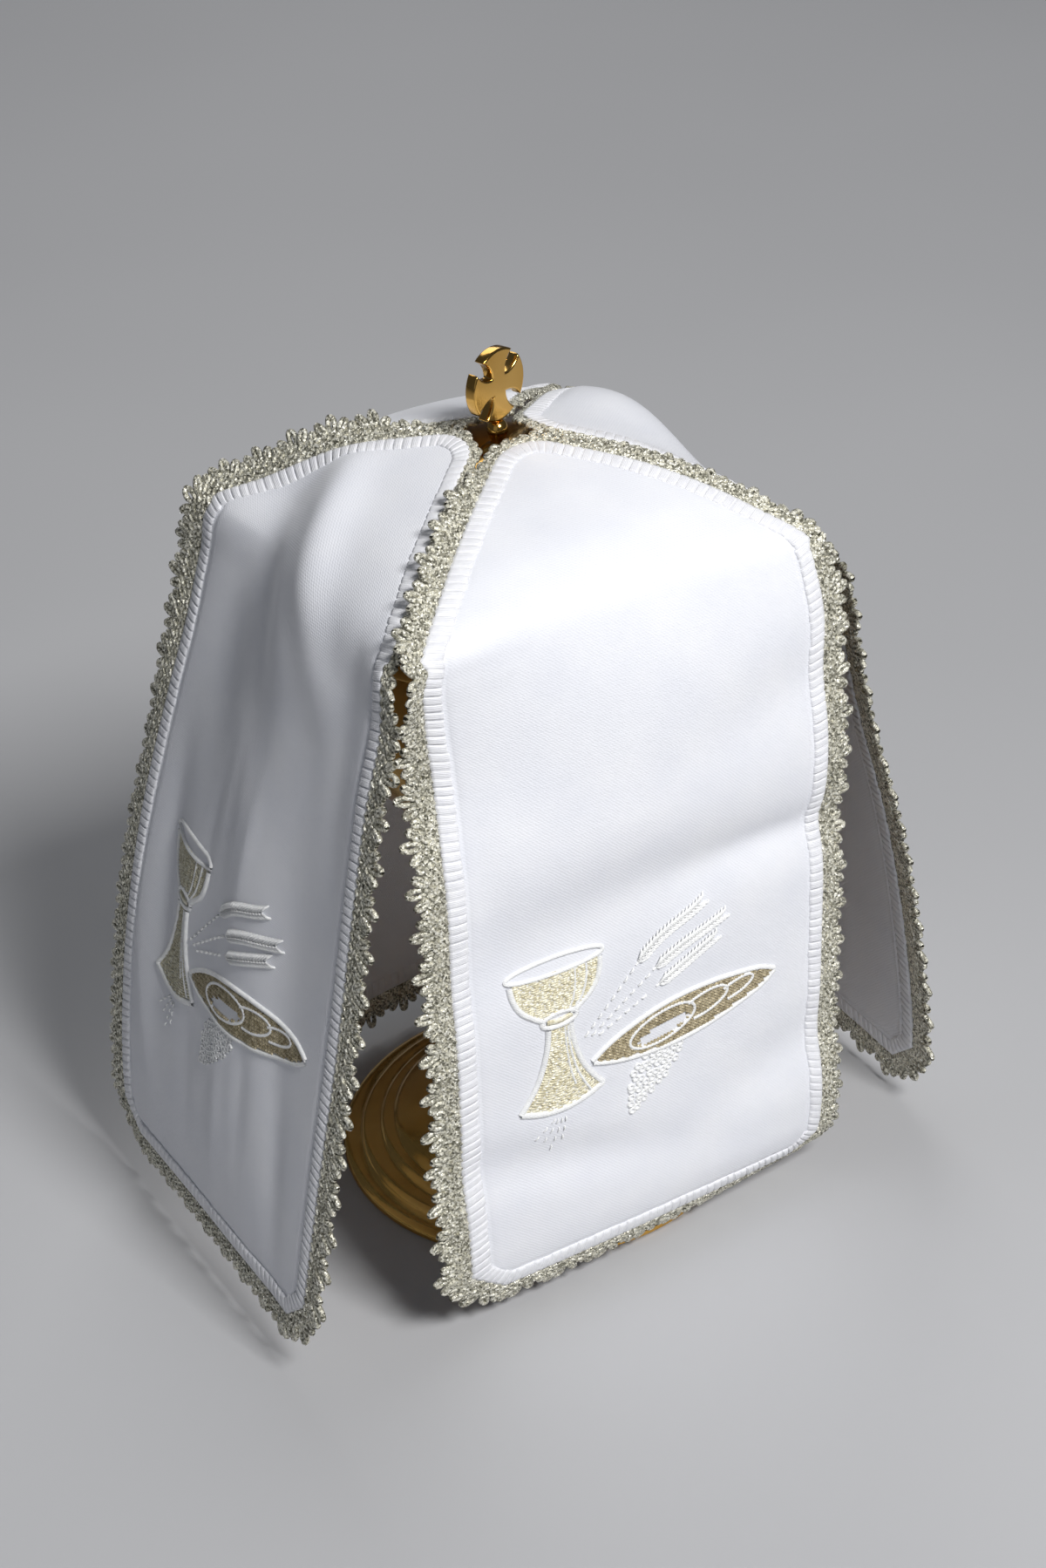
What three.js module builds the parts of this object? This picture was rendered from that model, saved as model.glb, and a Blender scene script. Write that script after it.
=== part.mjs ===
// Ciborium veil on its ciborium: four satin panels, each edged with lace, draped over a closed gilt vessel.
// Millimetres, +Z up. The origin is the middle of the foot's underside, and the front panel faces -Y.
import * as THREE from 'three';

// Panel pattern laid flat: "down" runs from the middle of the veil to the hem, "across" from the middle line
const PANEL_HALF_WIDTH = 51;
const SEAM_INSET = 4.2;
const SEAM_END = 58;
const APEX_RADIUS = 11;
const HEM_DOWN = 234.5;
const CORNER_CHAMFER = 8;
const BORDER_WIDTH = 4.2;
const BORDER_STEP = 1;
const CLOTH_THICKNESS = 1.2;
const BORDER_THICKNESS = 1.9;

// Lace edging: a strip along the cloth's edge that ends in scallops
const LACE_GAP = 0.5;
const LACE_WIDTH = 8.6;
const LACE_THICKNESS = 1;
const LACE_VALLEY = 0.66;
const LACE_AT_HOLE = 3;
const SCALLOP_PITCH = 10.7;
const SCALLOP_STEPS = [0, 0.2, 0.5, 0.8];
const HOLE_FADE = [-2, 14];

// How the lace lies on a seam: how far it reaches from the edge at most, how far its tip stands above the
// cloth (below 0 where it is tucked under the neighbour's lace), and where below the shoulder it comes free
const TUCKED = { wide: 2.1, lift: -1.1, free: [8, 48] };
const TUCKED_SHORT = { wide: 2.1, lift: -1.1, free: [-2, 16] };
const FLAT_OVER = { wide: 5.5, lift: 3.6, free: [10, 40] };
const LOW_OVER = { wide: 4.8, lift: 1, free: [0, 12] };
const FLARED_OVER = { wide: LACE_WIDTH, lift: 4, free: [20, 80] };

// Folds are calm this near to a seam, and at full height from the second distance on
const SEAM_CALM = [2, 16];

// The border takes at most this share of a narrow row near the apex
const NARROW_BORDER = 0.45;
const NARROW_STEP = 0.1;

// Ciborium heights and radii
const FOOT_RADIUS = 52.5;
const STEM_BASE = 36.3;
const CUP_BASE = 100.3;
const LID_BASE = 165.3;
const LID_RADIUS = 48;
const LID_TOP = 201.4;
const BEAD_BASE = LID_TOP + 0.3;
const BEAD_TOP = 209.6;
const LATHE_STEPS = 32;
const BEAD_STEPS = 16;

// Cross on the lid: a round cross whose arms widen to the rim
const CROSS_RADIUS = 8.8;
const CROSS_THICKNESS = 3;
const CROSS_TURN = THREE.MathUtils.degToRad(18);
const CROSS_CENTRE_Z = BEAD_TOP + 0.3 + CROSS_RADIUS;
const GAP_ROOT = 3.2;
const GAP_BELLY = 5.8;
const GAP_BELLY_ANGLE = THREE.MathUtils.degToRad(22);
const GAP_MOUTH_ANGLE = THREE.MathUtils.degToRad(10);

const CLOTH_TOP_Z = 206.2;

// Where the four corner seams run: x and y are the reach towards the two panels that the seam joins
const SEAMS = {
  frontLeft: {
    x: -1,
    y: -1,
    rows: [
      { down: 10, x: 10.8, y: 9.3, z: 206 },
      { down: 25, x: 26.8, y: 22.8, z: 201.5 },
      { down: 40, x: 42.2, y: 36.8, z: 196 },
      { down: 58, x: 60.5, y: 53.8, z: 185.5 },
    ],
  },
  leftBack: {
    x: -1,
    y: 1,
    rows: [
      { down: 10, x: 10, y: 10, z: 207 },
      { down: 25, x: 24.6, y: 24.6, z: 203.5 },
      { down: 40, x: 37.6, y: 37.8, z: 194.5 },
      { down: 58, x: 52.5, y: 53.5, z: 184.5 },
    ],
  },
  rightFront: {
    x: 1,
    y: -1,
    rows: [
      { down: 10, x: 10, y: 10, z: 206.5 },
      { down: 25, x: 24.8, y: 24.6, z: 202.5 },
      { down: 40, x: 39, y: 38.6, z: 195.4 },
      { down: 58, x: 54.8, y: 54.8, z: 182.5 },
    ],
  },
  backRight: {
    x: 1,
    y: 1,
    rows: [
      { down: 10, x: 9.8, y: 9.8, z: 204.5 },
      { down: 25, x: 24, y: 24, z: 199.5 },
      { down: 40, x: 37.4, y: 37, z: 191.5 },
      { down: 58, x: 52.5, y: 52, z: 182.5 },
    ],
  },
};
const ROOF_DOWNS = [10, 30, 45, 58];

// The drape of each panel. Roof rows give the middle line's reach out from the axis. Skirt rows give how far
// out the left rail, the middle line and the right rail hang, and where the two rails lie along the panel.
// seamLace is how the lace lies on the two seams.
// A fold is a soft ridge (high above 0) or trough at a place on the cloth, long one way and narrow the other.
const PANELS = {
  front: {
    out: [0, -1],
    along: [1, 0],
    left: 'frontLeft',
    right: 'rightFront',
    seamLace: { left: FLAT_OVER, right: LOW_OVER },
    roof: [9.9, 29.3, 43.2, 52.3],
    skirt: [
      { down: 63, outLeft: 50.8, outMid: 54.1, outRight: 55.6, alongLeft: -61.8, alongRight: 55.7 },
      { down: 72, outLeft: 47.1, outMid: 56.5, outRight: 56.5, alongLeft: -60.7, alongRight: 57 },
      { down: 90, outLeft: 46.4, outMid: 59, outRight: 57.5, alongLeft: -58.7, alongRight: 57.2 },
      { down: 110, outLeft: 52.8, outMid: 59.5, outRight: 58, alongLeft: -60.8, alongRight: 56.8 },
      { down: 150, outLeft: 57, outMid: 59.5, outRight: 58, alongLeft: -63, alongRight: 55.8 },
      { down: 190, outLeft: 57.5, outMid: 59.5, outRight: 58.5, alongLeft: -64.6, alongRight: 54.5 },
      { down: 216, outLeft: 58, outMid: 61, outRight: 59.5, alongLeft: -64.8, alongRight: 54 },
      { down: 225, outLeft: 57.8, outMid: 60.6, outRight: 58.3, alongLeft: -64.8, alongRight: 53.6 },
      { down: 234, outLeft: 56.3, outMid: 58.3, outRight: 53.8, alongLeft: -64.6, alongRight: 53 },
      { down: 242, outLeft: 53.5, outMid: 54.6, outRight: 47.5, alongLeft: -64.3, alongRight: 52.5 },
      { down: 250, outLeft: 49.5, outMid: 50, outRight: 41, alongLeft: -64, alongRight: 52 },
    ],
    folds: [
      { across: 32, down: 132, turn: 0, long: 36, wide: 8, high: -2.4 },
      { across: -28, down: 138, turn: -8, long: 32, wide: 12, high: -1.8 },
      { across: 5, down: 113, turn: -4, long: 55, wide: 12, high: 1.2 },
      { across: 40, down: 92, turn: -15, long: 24, wide: 10, high: -1.6 },
      { across: -24, down: 204, turn: 18, long: 34, wide: 9, high: -2 },
      { across: 38, down: 197, turn: -18, long: 26, wide: 9, high: -1.6 },
    ],
  },
  left: {
    out: [-1, 0],
    along: [0, -1],
    left: 'leftBack',
    right: 'frontLeft',
    seamLace: { left: FLARED_OVER, right: TUCKED_SHORT },
    roof: [9.9, 29.3, 43.2, 53.5],
    skirt: [
      { down: 72, outLeft: 53.5, outMid: 60.5, outRight: 62, alongLeft: -58, alongRight: 55.5 },
      { down: 90, outLeft: 58.5, outMid: 66, outRight: 67, alongLeft: -59.5, alongRight: 55.5 },
      { down: 110, outLeft: 65.5, outMid: 72, outRight: 71.5, alongLeft: -60.5, alongRight: 56 },
      { down: 150, outLeft: 79, outMid: 82.5, outRight: 79.5, alongLeft: -61, alongRight: 56 },
      { down: 190, outLeft: 89, outMid: 91, outRight: 88, alongLeft: -60, alongRight: 55 },
      { down: 225, outLeft: 94.5, outMid: 96, outRight: 95, alongLeft: -57.5, alongRight: 53.5 },
      { down: 250, outLeft: 94.5, outMid: 97, outRight: 100, alongLeft: -56, alongRight: 52 },
    ],
    folds: [
      { across: -2, down: 48, turn: 48, long: 32, wide: 7, high: 3 },
      { across: -16, down: 69, turn: 62, long: 36, wide: 10, high: -3.2 },
      { across: 6, down: 128, turn: 84, long: 60, wide: 13, high: 1.8 },
      { across: 30, down: 150, turn: 90, long: 60, wide: 12, high: -1.5 },
      { across: -33, down: 146, turn: 80, long: 34, wide: 8, high: -2.2 },
    ],
  },
  back: {
    out: [0, 1],
    along: [-1, 0],
    left: 'backRight',
    right: 'leftBack',
    seamLace: { left: TUCKED, right: TUCKED },
    roof: [9.7, 29, 42.8, 53],
    skirt: [
      { down: 72, outLeft: 56, outMid: 57, outRight: 55, alongLeft: -55, alongRight: 56 },
      { down: 90, outLeft: 61.5, outMid: 61, outRight: 57, alongLeft: -56, alongRight: 57 },
      { down: 110, outLeft: 66.5, outMid: 64.5, outRight: 59, alongLeft: -57, alongRight: 58 },
      { down: 150, outLeft: 72, outMid: 67.5, outRight: 61, alongLeft: -57, alongRight: 58 },
      { down: 190, outLeft: 72.5, outMid: 67.5, outRight: 62, alongLeft: -57, alongRight: 58 },
      { down: 225, outLeft: 69.5, outMid: 65, outRight: 61, alongLeft: -56.5, alongRight: 57 },
      { down: 250, outLeft: 62, outMid: 59.5, outRight: 56, alongLeft: -56, alongRight: 56.5 },
    ],
    folds: [
      { across: -15, down: 150, turn: 90, long: 60, wide: 14, high: 1.5 },
      { across: 18, down: 160, turn: 85, long: 60, wide: 12, high: -1.5 },
    ],
  },
  right: {
    out: [1, 0],
    along: [0, 1],
    left: 'rightFront',
    right: 'backRight',
    seamLace: { left: TUCKED_SHORT, right: TUCKED },
    roof: [9.8, 29, 42.5, 50.5],
    skirt: [
      { down: 72, outLeft: 60, outMid: 57.5, outRight: 57, alongLeft: -55.5, alongRight: 54.5 },
      { down: 90, outLeft: 62.5, outMid: 64, outRight: 63, alongLeft: -56, alongRight: 55.5 },
      { down: 110, outLeft: 66, outMid: 70, outRight: 69, alongLeft: -56.5, alongRight: 56.5 },
      { down: 150, outLeft: 76, outMid: 78.5, outRight: 78, alongLeft: -57, alongRight: 57 },
      { down: 190, outLeft: 83, outMid: 84, outRight: 84.5, alongLeft: -57, alongRight: 57 },
      { down: 225, outLeft: 86.5, outMid: 87, outRight: 88.5, alongLeft: -56.5, alongRight: 56.5 },
      { down: 250, outLeft: 85.5, outMid: 86.5, outRight: 89.5, alongLeft: -55.5, alongRight: 55.5 },
    ],
    folds: [
      { across: 12, down: 40, turn: 0, long: 20, wide: 12, high: 4.2 },
      { across: -28, down: 46, turn: 0, long: 16, wide: 12, high: -3 },
      { across: 5, down: 150, turn: 90, long: 60, wide: 14, high: 1.5 },
    ],
  },
};

const satin = new THREE.MeshStandardMaterial({ color: 0xeeeef4, roughness: 0.55, metalness: 0 });
const silver = new THREE.MeshStandardMaterial({ color: 0xb9b9a6, roughness: 0.4, metalness: 0.6 });
const gilt = new THREE.MeshStandardMaterial({ color: 0xc8932e, roughness: 0.15, metalness: 1 });

// A smooth curve through rows of (x, y), with each row's slope taken from its neighbours
function smooth(xs, ys, x) {
  const last = xs.length - 1;
  const slope = (i) => {
    if (i === 0) return (ys[1] - ys[0]) / (xs[1] - xs[0]);
    if (i === last) return (ys[last] - ys[last - 1]) / (xs[last] - xs[last - 1]);
    const before = xs[i] - xs[i - 1];
    const after = xs[i + 1] - xs[i];
    const rise = (ys[i] - ys[i - 1]) / before;
    const run = (ys[i + 1] - ys[i]) / after;
    return (rise * after + run * before) / (before + after);
  };
  let i = 0;
  while (i < last - 1 && x > xs[i + 1]) i += 1;
  const width = xs[i + 1] - xs[i];
  const t = (x - xs[i]) / width;
  return (
    (1 + 2 * t) * (1 - t) ** 2 * ys[i] +
    t * (1 - t) ** 2 * width * slope(i) +
    t * t * (3 - 2 * t) * ys[i + 1] +
    t * t * (t - 1) * width * slope(i + 1)
  );
}

// A rail runs down the cloth with no stretch: what a row moves sideways it loses in height
function hang(downs, outs, alongs, heights) {
  const zs = [...heights];
  for (let i = heights.length; i < downs.length; i += 1) {
    const sideways = Math.hypot(outs[i] - outs[i - 1], alongs[i] - alongs[i - 1]);
    const length = downs[i] - downs[i - 1];
    zs.push(zs[i - 1] - Math.sqrt(length * length - sideways * sideways));
  }
  return zs;
}

function seamAt(seam, down) {
  const downs = seam.rows.map((row) => row.down);
  const column = (name) => smooth(downs, seam.rows.map((row) => row[name]), down);
  return { x: seam.x * column('x'), y: seam.y * column('y'), z: column('z') };
}

// The three rails that carry a panel: its left seam or edge line, its middle line and its right one
function panelRails(panel) {
  const downs = [...ROOF_DOWNS, ...panel.skirt.map((row) => row.down)];
  const edgeRail = (corner, outColumn, alongColumn) => {
    const seam = ROOF_DOWNS.map((down) => seamAt(SEAMS[corner], down));
    const onSeam = (axis) => seam.map((p) => p.x * axis[0] + p.y * axis[1]);
    const out = [...onSeam(panel.out), ...panel.skirt.map((row) => row[outColumn])];
    const along = [...onSeam(panel.along), ...panel.skirt.map((row) => row[alongColumn])];
    return { out, along, z: hang(downs, out, along, seam.map((p) => p.z)) };
  };
  const midOut = [...panel.roof, ...panel.skirt.map((row) => row.outMid)];
  const midAlong = downs.map(() => 0);
  return {
    downs,
    left: edgeRail(panel.left, 'outLeft', 'alongLeft'),
    mid: { out: midOut, along: midAlong, z: hang(downs, midOut, midAlong, [CLOTH_TOP_Z]) },
    right: edgeRail(panel.right, 'outRight', 'alongRight'),
  };
}

// The drape without its folds, as (out, along, up): a parabola across the three rails at each distance down
function drapeBase(rails, across, down) {
  const q = across / Math.min(down, SEAM_END);
  const at = (part) => {
    const onRail = (rail) => smooth(rails.downs, rails[rail][part], down);
    const [left, mid, right] = ['left', 'mid', 'right'].map(onRail);
    return mid + ((right - left) / 2) * q + ((right + left) / 2 - mid) * q * q;
  };
  return new THREE.Vector3(at('out'), at('along'), at('z'));
}

// Folds die out towards the seams, where the panels are held together
function foldHeight(folds, across, down) {
  const calm = THREE.MathUtils.smoothstep(down - Math.abs(across), ...SEAM_CALM);
  return folds.reduce((sum, fold) => {
    const turn = THREE.MathUtils.degToRad(fold.turn);
    const a = across - fold.across;
    const d = down - fold.down;
    const u = (a * Math.cos(turn) + d * Math.sin(turn)) / fold.long;
    const v = (d * Math.cos(turn) - a * Math.sin(turn)) / fold.wide;
    return sum + calm * fold.high * Math.exp(-u * u - v * v);
  }, 0);
}

// A panel's drape: gives the point in space that lies "lift" above the cloth's middle surface
function makeDrape(panel) {
  const rails = panelRails(panel);
  const step = 0.5;
  return (across, down, lift) => {
    const point = drapeBase(rails, across, down);
    const acrossStep = drapeBase(rails, across + step, down).sub(drapeBase(rails, across - step, down));
    const downStep = drapeBase(rails, across, down + step).sub(drapeBase(rails, across, down - step));
    const normal = downStep.cross(acrossStep).normalize();
    point.addScaledVector(normal, foldHeight(panel.folds, across, down) + lift);
    return new THREE.Vector3(
      point.x * panel.out[0] + point.y * panel.along[0],
      point.x * panel.out[1] + point.y * panel.along[1],
      point.z,
    );
  };
}

// A closed sheet from a grid of { above, below } points; "ring" joins the last row to the first
function closedSheet(grid, ring) {
  const rows = grid.length;
  const columns = grid[0].length;
  const positions = [];
  grid.forEach((row) => row.forEach((cell) => positions.push(...cell.above, ...cell.below)));
  const above = (i, j) => 2 * ((i % rows) * columns + j);
  const below = (i, j) => above(i, j) + 1;
  const indices = [];
  const quad = (a, b, c, d) => indices.push(a, b, c, a, c, d);
  const rowSteps = ring ? rows : rows - 1;
  for (let i = 0; i < rowSteps; i += 1) {
    for (let j = 0; j < columns - 1; j += 1) {
      quad(above(i, j), above(i + 1, j), above(i + 1, j + 1), above(i, j + 1));
      quad(below(i, j), below(i, j + 1), below(i + 1, j + 1), below(i + 1, j));
    }
    quad(above(i, 0), below(i, 0), below(i + 1, 0), above(i + 1, 0));
    const end = columns - 1;
    quad(above(i, end), above(i + 1, end), below(i + 1, end), below(i, end));
  }
  if (!ring) {
    for (let j = 0; j < columns - 1; j += 1) {
      quad(above(0, j), above(0, j + 1), below(0, j + 1), below(0, j));
      quad(above(rows - 1, j), below(rows - 1, j), below(rows - 1, j + 1), above(rows - 1, j + 1));
    }
  }
  const geometry = new THREE.BufferGeometry();
  geometry.setAttribute('position', new THREE.Float32BufferAttribute(positions, 3));
  geometry.setIndex(indices);
  geometry.computeVertexNormals();
  return geometry;
}

const APEX_DOWN = SEAM_INSET + APEX_RADIUS * (Math.SQRT2 - 1);
const APEX_CENTRE_DOWN = SEAM_INSET + APEX_RADIUS * Math.SQRT2;
const APEX_TANGENT_DOWN = SEAM_INSET + APEX_RADIUS * Math.SQRT1_2;
const SHOULDER_DOWN = PANEL_HALF_WIDTH + SEAM_INSET;
const CHAMFER_DOWN = HEM_DOWN - CORNER_CHAMFER;
const HEM_HALF = PANEL_HALF_WIDTH - CORNER_CHAMFER;

// Half the cloth's width at a distance down
function halfWidth(down) {
  if (down < APEX_TANGENT_DOWN) return Math.sqrt(APEX_RADIUS ** 2 - (APEX_CENTRE_DOWN - down) ** 2);
  const roof = down - SEAM_INSET;
  const chamfer = PANEL_HALF_WIDTH - Math.max(0, down - CHAMFER_DOWN);
  return Math.min(roof, PANEL_HALF_WIDTH, chamfer);
}

// The cloth's own sheet: thicker along its stitched border
function panelGeometry(drape) {
  const apexRows = [0.3, 1.4, 3.2, 5.6].map((depth) => APEX_DOWN + depth);
  const roofRows = [21, 29, 37, 45, SHOULDER_DOWN - 4];
  const shoulderRows = [SHOULDER_DOWN, SEAM_END, 64, 71, 79, 89];
  const skirtRows = [100, 113, 123, 132, 142, 155, 170, 185, 200, 212];
  const hemBorder = HEM_DOWN - BORDER_WIDTH;
  const hemRows = [221, CHAMFER_DOWN, hemBorder - BORDER_STEP, hemBorder, HEM_DOWN];
  const downs = [...apexRows, ...roofRows, ...shoulderRows, ...skirtRows, ...hemRows];
  downs.sort((a, b) => a - b);
  const inner = [-1, -0.75, -0.5, -0.25, 0, 0.25, 0.5, 0.75, 1];
  const grid = downs.map((down) => {
    const half = halfWidth(down);
    const border = Math.min(BORDER_WIDTH, half * NARROW_BORDER);
    const field = half - border - Math.min(BORDER_STEP, half * NARROW_STEP);
    const acrosses = [-half, -half + border, ...inner.map((f) => f * field), half - border, half];
    return acrosses.map((across, column) => {
      const onSide = column < 2 || column > acrosses.length - 3;
      const onEnd = down < APEX_DOWN + BORDER_WIDTH || down > HEM_DOWN - BORDER_WIDTH - BORDER_STEP / 2;
      const lift = (onSide || onEnd ? BORDER_THICKNESS : CLOTH_THICKNESS) / 2;
      return { above: drape(across, down, lift), below: drape(across, down, -lift) };
    });
  });
  return closedSheet(grid, false);
}

// One straight run of the lace path, cut into whole scallops, without its last point
function laceRun(from, to, normal) {
  const length = Math.hypot(to[0] - from[0], to[1] - from[1]);
  const scallops = Math.max(1, Math.round(length / SCALLOP_PITCH));
  const points = [];
  for (let k = 0; k < scallops; k += 1) {
    SCALLOP_STEPS.forEach((part) => {
      const t = (k + part) / scallops;
      points.push({
        across: from[0] + t * (to[0] - from[0]),
        down: from[1] + t * (to[1] - from[1]),
        normal,
        mitre: 1,
        reach: LACE_VALLEY + (1 - LACE_VALLEY) * Math.sqrt(Math.sin(Math.PI * part)),
      });
    });
  }
  return points;
}

// The closed path round a panel's edge: right half from the apex to the hem, hem, and the left half back up
function lacePath() {
  const diagonal = Math.SQRT1_2;
  const apexArc = [-30, -10, 10, 30].map((degrees) => {
    const angle = THREE.MathUtils.degToRad(degrees);
    return {
      across: APEX_RADIUS * Math.sin(angle),
      down: APEX_CENTRE_DOWN - APEX_RADIUS * Math.cos(angle),
      normal: [Math.sin(angle), -Math.cos(angle)],
      mitre: 1,
      reach: 1,
    };
  });
  const tangent = [APEX_RADIUS * diagonal, APEX_TANGENT_DOWN];
  const corners = [
    tangent,
    [PANEL_HALF_WIDTH, SHOULDER_DOWN],
    [PANEL_HALF_WIDTH, CHAMFER_DOWN],
    [HEM_HALF, HEM_DOWN],
    [-HEM_HALF, HEM_DOWN],
    [-PANEL_HALF_WIDTH, CHAMFER_DOWN],
    [-PANEL_HALF_WIDTH, SHOULDER_DOWN],
    [-tangent[0], tangent[1]],
  ];
  const normals = [
    [diagonal, -diagonal],
    [1, 0],
    [diagonal, diagonal],
    [0, 1],
    [-diagonal, diagonal],
    [-1, 0],
    [-diagonal, -diagonal],
  ];
  const runs = normals.flatMap((normal, k) => {
    const run = laceRun(corners[k], corners[k + 1], normal);
    if (k > 0) {
      const bisector = new THREE.Vector2(...normals[k - 1]).add(new THREE.Vector2(...normal)).normalize();
      run[0].normal = [bisector.x, bisector.y];
      run[0].mitre = 1 / bisector.dot(new THREE.Vector2(...normal));
    }
    return run;
  });
  const close = { across: -tangent[0], down: tangent[1], normal: normals[6], mitre: 1, reach: 1 };
  return [...runs, close, ...apexArc];
}

// Lace: full width along the free sides, as its row says on the seams, slim round the hole
function laceGeometry(panel, drape) {
  const lift = LACE_THICKNESS / 2;
  const grid = lacePath().map((p) => {
    const side = p.across < 0 ? panel.seamLace.left : panel.seamLace.right;
    const onSeam = 1 - THREE.MathUtils.smoothstep(p.down - SHOULDER_DOWN, ...side.free);
    const fromHole = THREE.MathUtils.smoothstep(p.down - APEX_TANGENT_DOWN, ...HOLE_FADE);
    const full = LACE_WIDTH * p.reach;
    const lapped = THREE.MathUtils.lerp(full, Math.min(full, side.wide), onSeam);
    const width = THREE.MathUtils.lerp(Math.min(LACE_AT_HOLE, side.wide), lapped, fromHole);
    const edgeLift = side.lift * onSeam * (side.lift > 0 ? fromHole : 1);
    const at = (distance, rise) => {
      const across = p.across + p.normal[0] * p.mitre * distance;
      const down = p.down + p.normal[1] * p.mitre * distance;
      return { above: drape(across, down, rise + lift), below: drape(across, down, rise - lift) };
    };
    return [at(LACE_GAP, 0), at(width, edgeLift)];
  });
  return closedSheet(grid, true);
}

function turned(profile, steps) {
  const points = profile.map(([r, z]) => new THREE.Vector2(r, z));
  return new THREE.LatheGeometry(points, steps).rotateX(Math.PI / 2);
}

function addMesh(group, name, geometry, material) {
  const mesh = new THREE.Mesh(geometry, material);
  mesh.name = name;
  group.add(mesh);
  return mesh;
}

// Turned profiles, from the axis at the bottom to the axis at the top
const footProfile = [
  [0, 0], [FOOT_RADIUS, 0], [FOOT_RADIUS, 2], [51, 3.2], [47.5, 3.6], [46.5, 5], [42.5, 5.8], [41.2, 7.4],
  [38.6, 7.8], [37.2, 9.6], [32, 12], [25, 15.5], [18, 20.5], [12.5, 28], [10.5, 36], [0, 36],
];
const stemProfile = [
  [0, STEM_BASE], [9, STEM_BASE], [7, 46], [6.5, 59], [9, 62], [14, 66], [16, 71], [14, 76], [9, 80],
  [6.5, 83], [7.5, 93], [11, 100], [0, 100],
];
const cupProfile = [
  [0, CUP_BASE], [12, CUP_BASE], [25, 107], [36, 119], [42.5, 135], [45.5, 151], [46, 165], [0, 165],
];
const lidProfile = [
  [0, LID_BASE], [LID_RADIUS, LID_BASE], [LID_RADIUS, 168], [46.5, 172.5], [44, 179.5], [38, 187.5],
  [28, 195.5], [18, 198.8], [9, 200.9], [6, LID_TOP], [0, LID_TOP],
];
const beadProfile = [
  [0, BEAD_BASE], [4.2, BEAD_BASE], [3.8, BEAD_BASE + 1], [1.9, BEAD_BASE + 1.8], [1.7, BEAD_BASE + 2.6],
  [2.3, BEAD_TOP - 3.4], [2.5, BEAD_TOP - 2.4], [2.2, BEAD_TOP - 1.2], [1.3, BEAD_TOP], [0, BEAD_TOP],
];

// Outline of the round cross: four arms out to the rim, with a leaf-shaped gap between each two
function crossShape() {
  const shape = new THREE.Shape();
  const polar = (radius, angle) => [radius * Math.cos(angle), radius * Math.sin(angle)];
  for (let k = 0; k < 4; k += 1) {
    const gap = Math.PI / 4 + (k * Math.PI) / 2;
    const armStart = gap - Math.PI / 2 + GAP_MOUTH_ANGLE;
    if (k === 0) shape.moveTo(...polar(CROSS_RADIUS, armStart));
    shape.absarc(0, 0, CROSS_RADIUS, armStart, gap - GAP_MOUTH_ANGLE, false);
    const nextArm = polar(CROSS_RADIUS, gap + GAP_MOUTH_ANGLE);
    shape.quadraticCurveTo(...polar(GAP_BELLY, gap - GAP_BELLY_ANGLE), ...polar(GAP_ROOT, gap));
    shape.quadraticCurveTo(...polar(GAP_BELLY, gap + GAP_BELLY_ANGLE), ...nextArm);
  }
  return shape;
}

function crossGeometry() {
  const geometry = new THREE.ExtrudeGeometry(crossShape(), {
    depth: CROSS_THICKNESS,
    bevelEnabled: false,
    curveSegments: 6,
  });
  return geometry.translate(0, 0, -CROSS_THICKNESS / 2).rotateX(Math.PI / 2);
}

const veil = new THREE.Group();
Object.entries(PANELS).forEach(([side, panel]) => {
  const drape = makeDrape(panel);
  addMesh(veil, `panel_${side}`, panelGeometry(drape), satin.clone());
  addMesh(veil, `lace_${side}`, laceGeometry(panel, drape), silver.clone());
});

const ciborium = new THREE.Group();
addMesh(ciborium, 'foot', turned(footProfile, LATHE_STEPS), gilt.clone());
addMesh(ciborium, 'stem', turned(stemProfile, BEAD_STEPS), gilt.clone());
addMesh(ciborium, 'cup', turned(cupProfile, LATHE_STEPS), gilt.clone());
addMesh(ciborium, 'lid', turned(lidProfile, LATHE_STEPS), gilt.clone());
addMesh(ciborium, 'finial_bead', turned(beadProfile, BEAD_STEPS), gilt.clone());
const cross = addMesh(ciborium, 'finial_cross', crossGeometry(), gilt.clone());
cross.position.z = CROSS_CENTRE_Z;
cross.rotation.z = CROSS_TURN;

const object = new THREE.Group();
object.add(veil, ciborium);

export default object;
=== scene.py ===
"""Ciborium veil on its ciborium: cloth, borders, lace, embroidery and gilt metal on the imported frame."""
import math

import bpy
import numpy as np
from mathutils import Matrix, Vector

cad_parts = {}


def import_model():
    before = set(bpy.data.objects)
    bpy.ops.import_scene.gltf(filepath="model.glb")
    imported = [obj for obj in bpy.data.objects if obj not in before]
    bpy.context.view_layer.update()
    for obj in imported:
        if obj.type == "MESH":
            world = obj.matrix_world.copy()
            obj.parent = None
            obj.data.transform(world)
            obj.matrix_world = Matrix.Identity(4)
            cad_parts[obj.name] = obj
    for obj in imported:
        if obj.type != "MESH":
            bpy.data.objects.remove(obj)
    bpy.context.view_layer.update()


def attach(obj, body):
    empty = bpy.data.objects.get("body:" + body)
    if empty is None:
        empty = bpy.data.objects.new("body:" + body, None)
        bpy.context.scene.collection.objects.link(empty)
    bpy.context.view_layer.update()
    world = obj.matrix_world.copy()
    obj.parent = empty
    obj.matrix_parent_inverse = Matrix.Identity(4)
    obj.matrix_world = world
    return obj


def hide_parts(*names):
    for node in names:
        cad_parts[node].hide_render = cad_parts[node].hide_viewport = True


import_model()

MM = 0.001
SEED = 7

# Camera as in the photograph: degrees, and millimetres in the part's frame
CAMERA_AZIMUTH = -30.6
CAMERA_ELEVATION = 33.1
CAMERA_ROLL = -3.45
CAMERA_DISTANCE = 755.1
CAMERA_TARGET = (0.82, -0.48, 109.5)
CAMERA_LENS = 70.04
SENSOR_HEIGHT = 36.0

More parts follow.
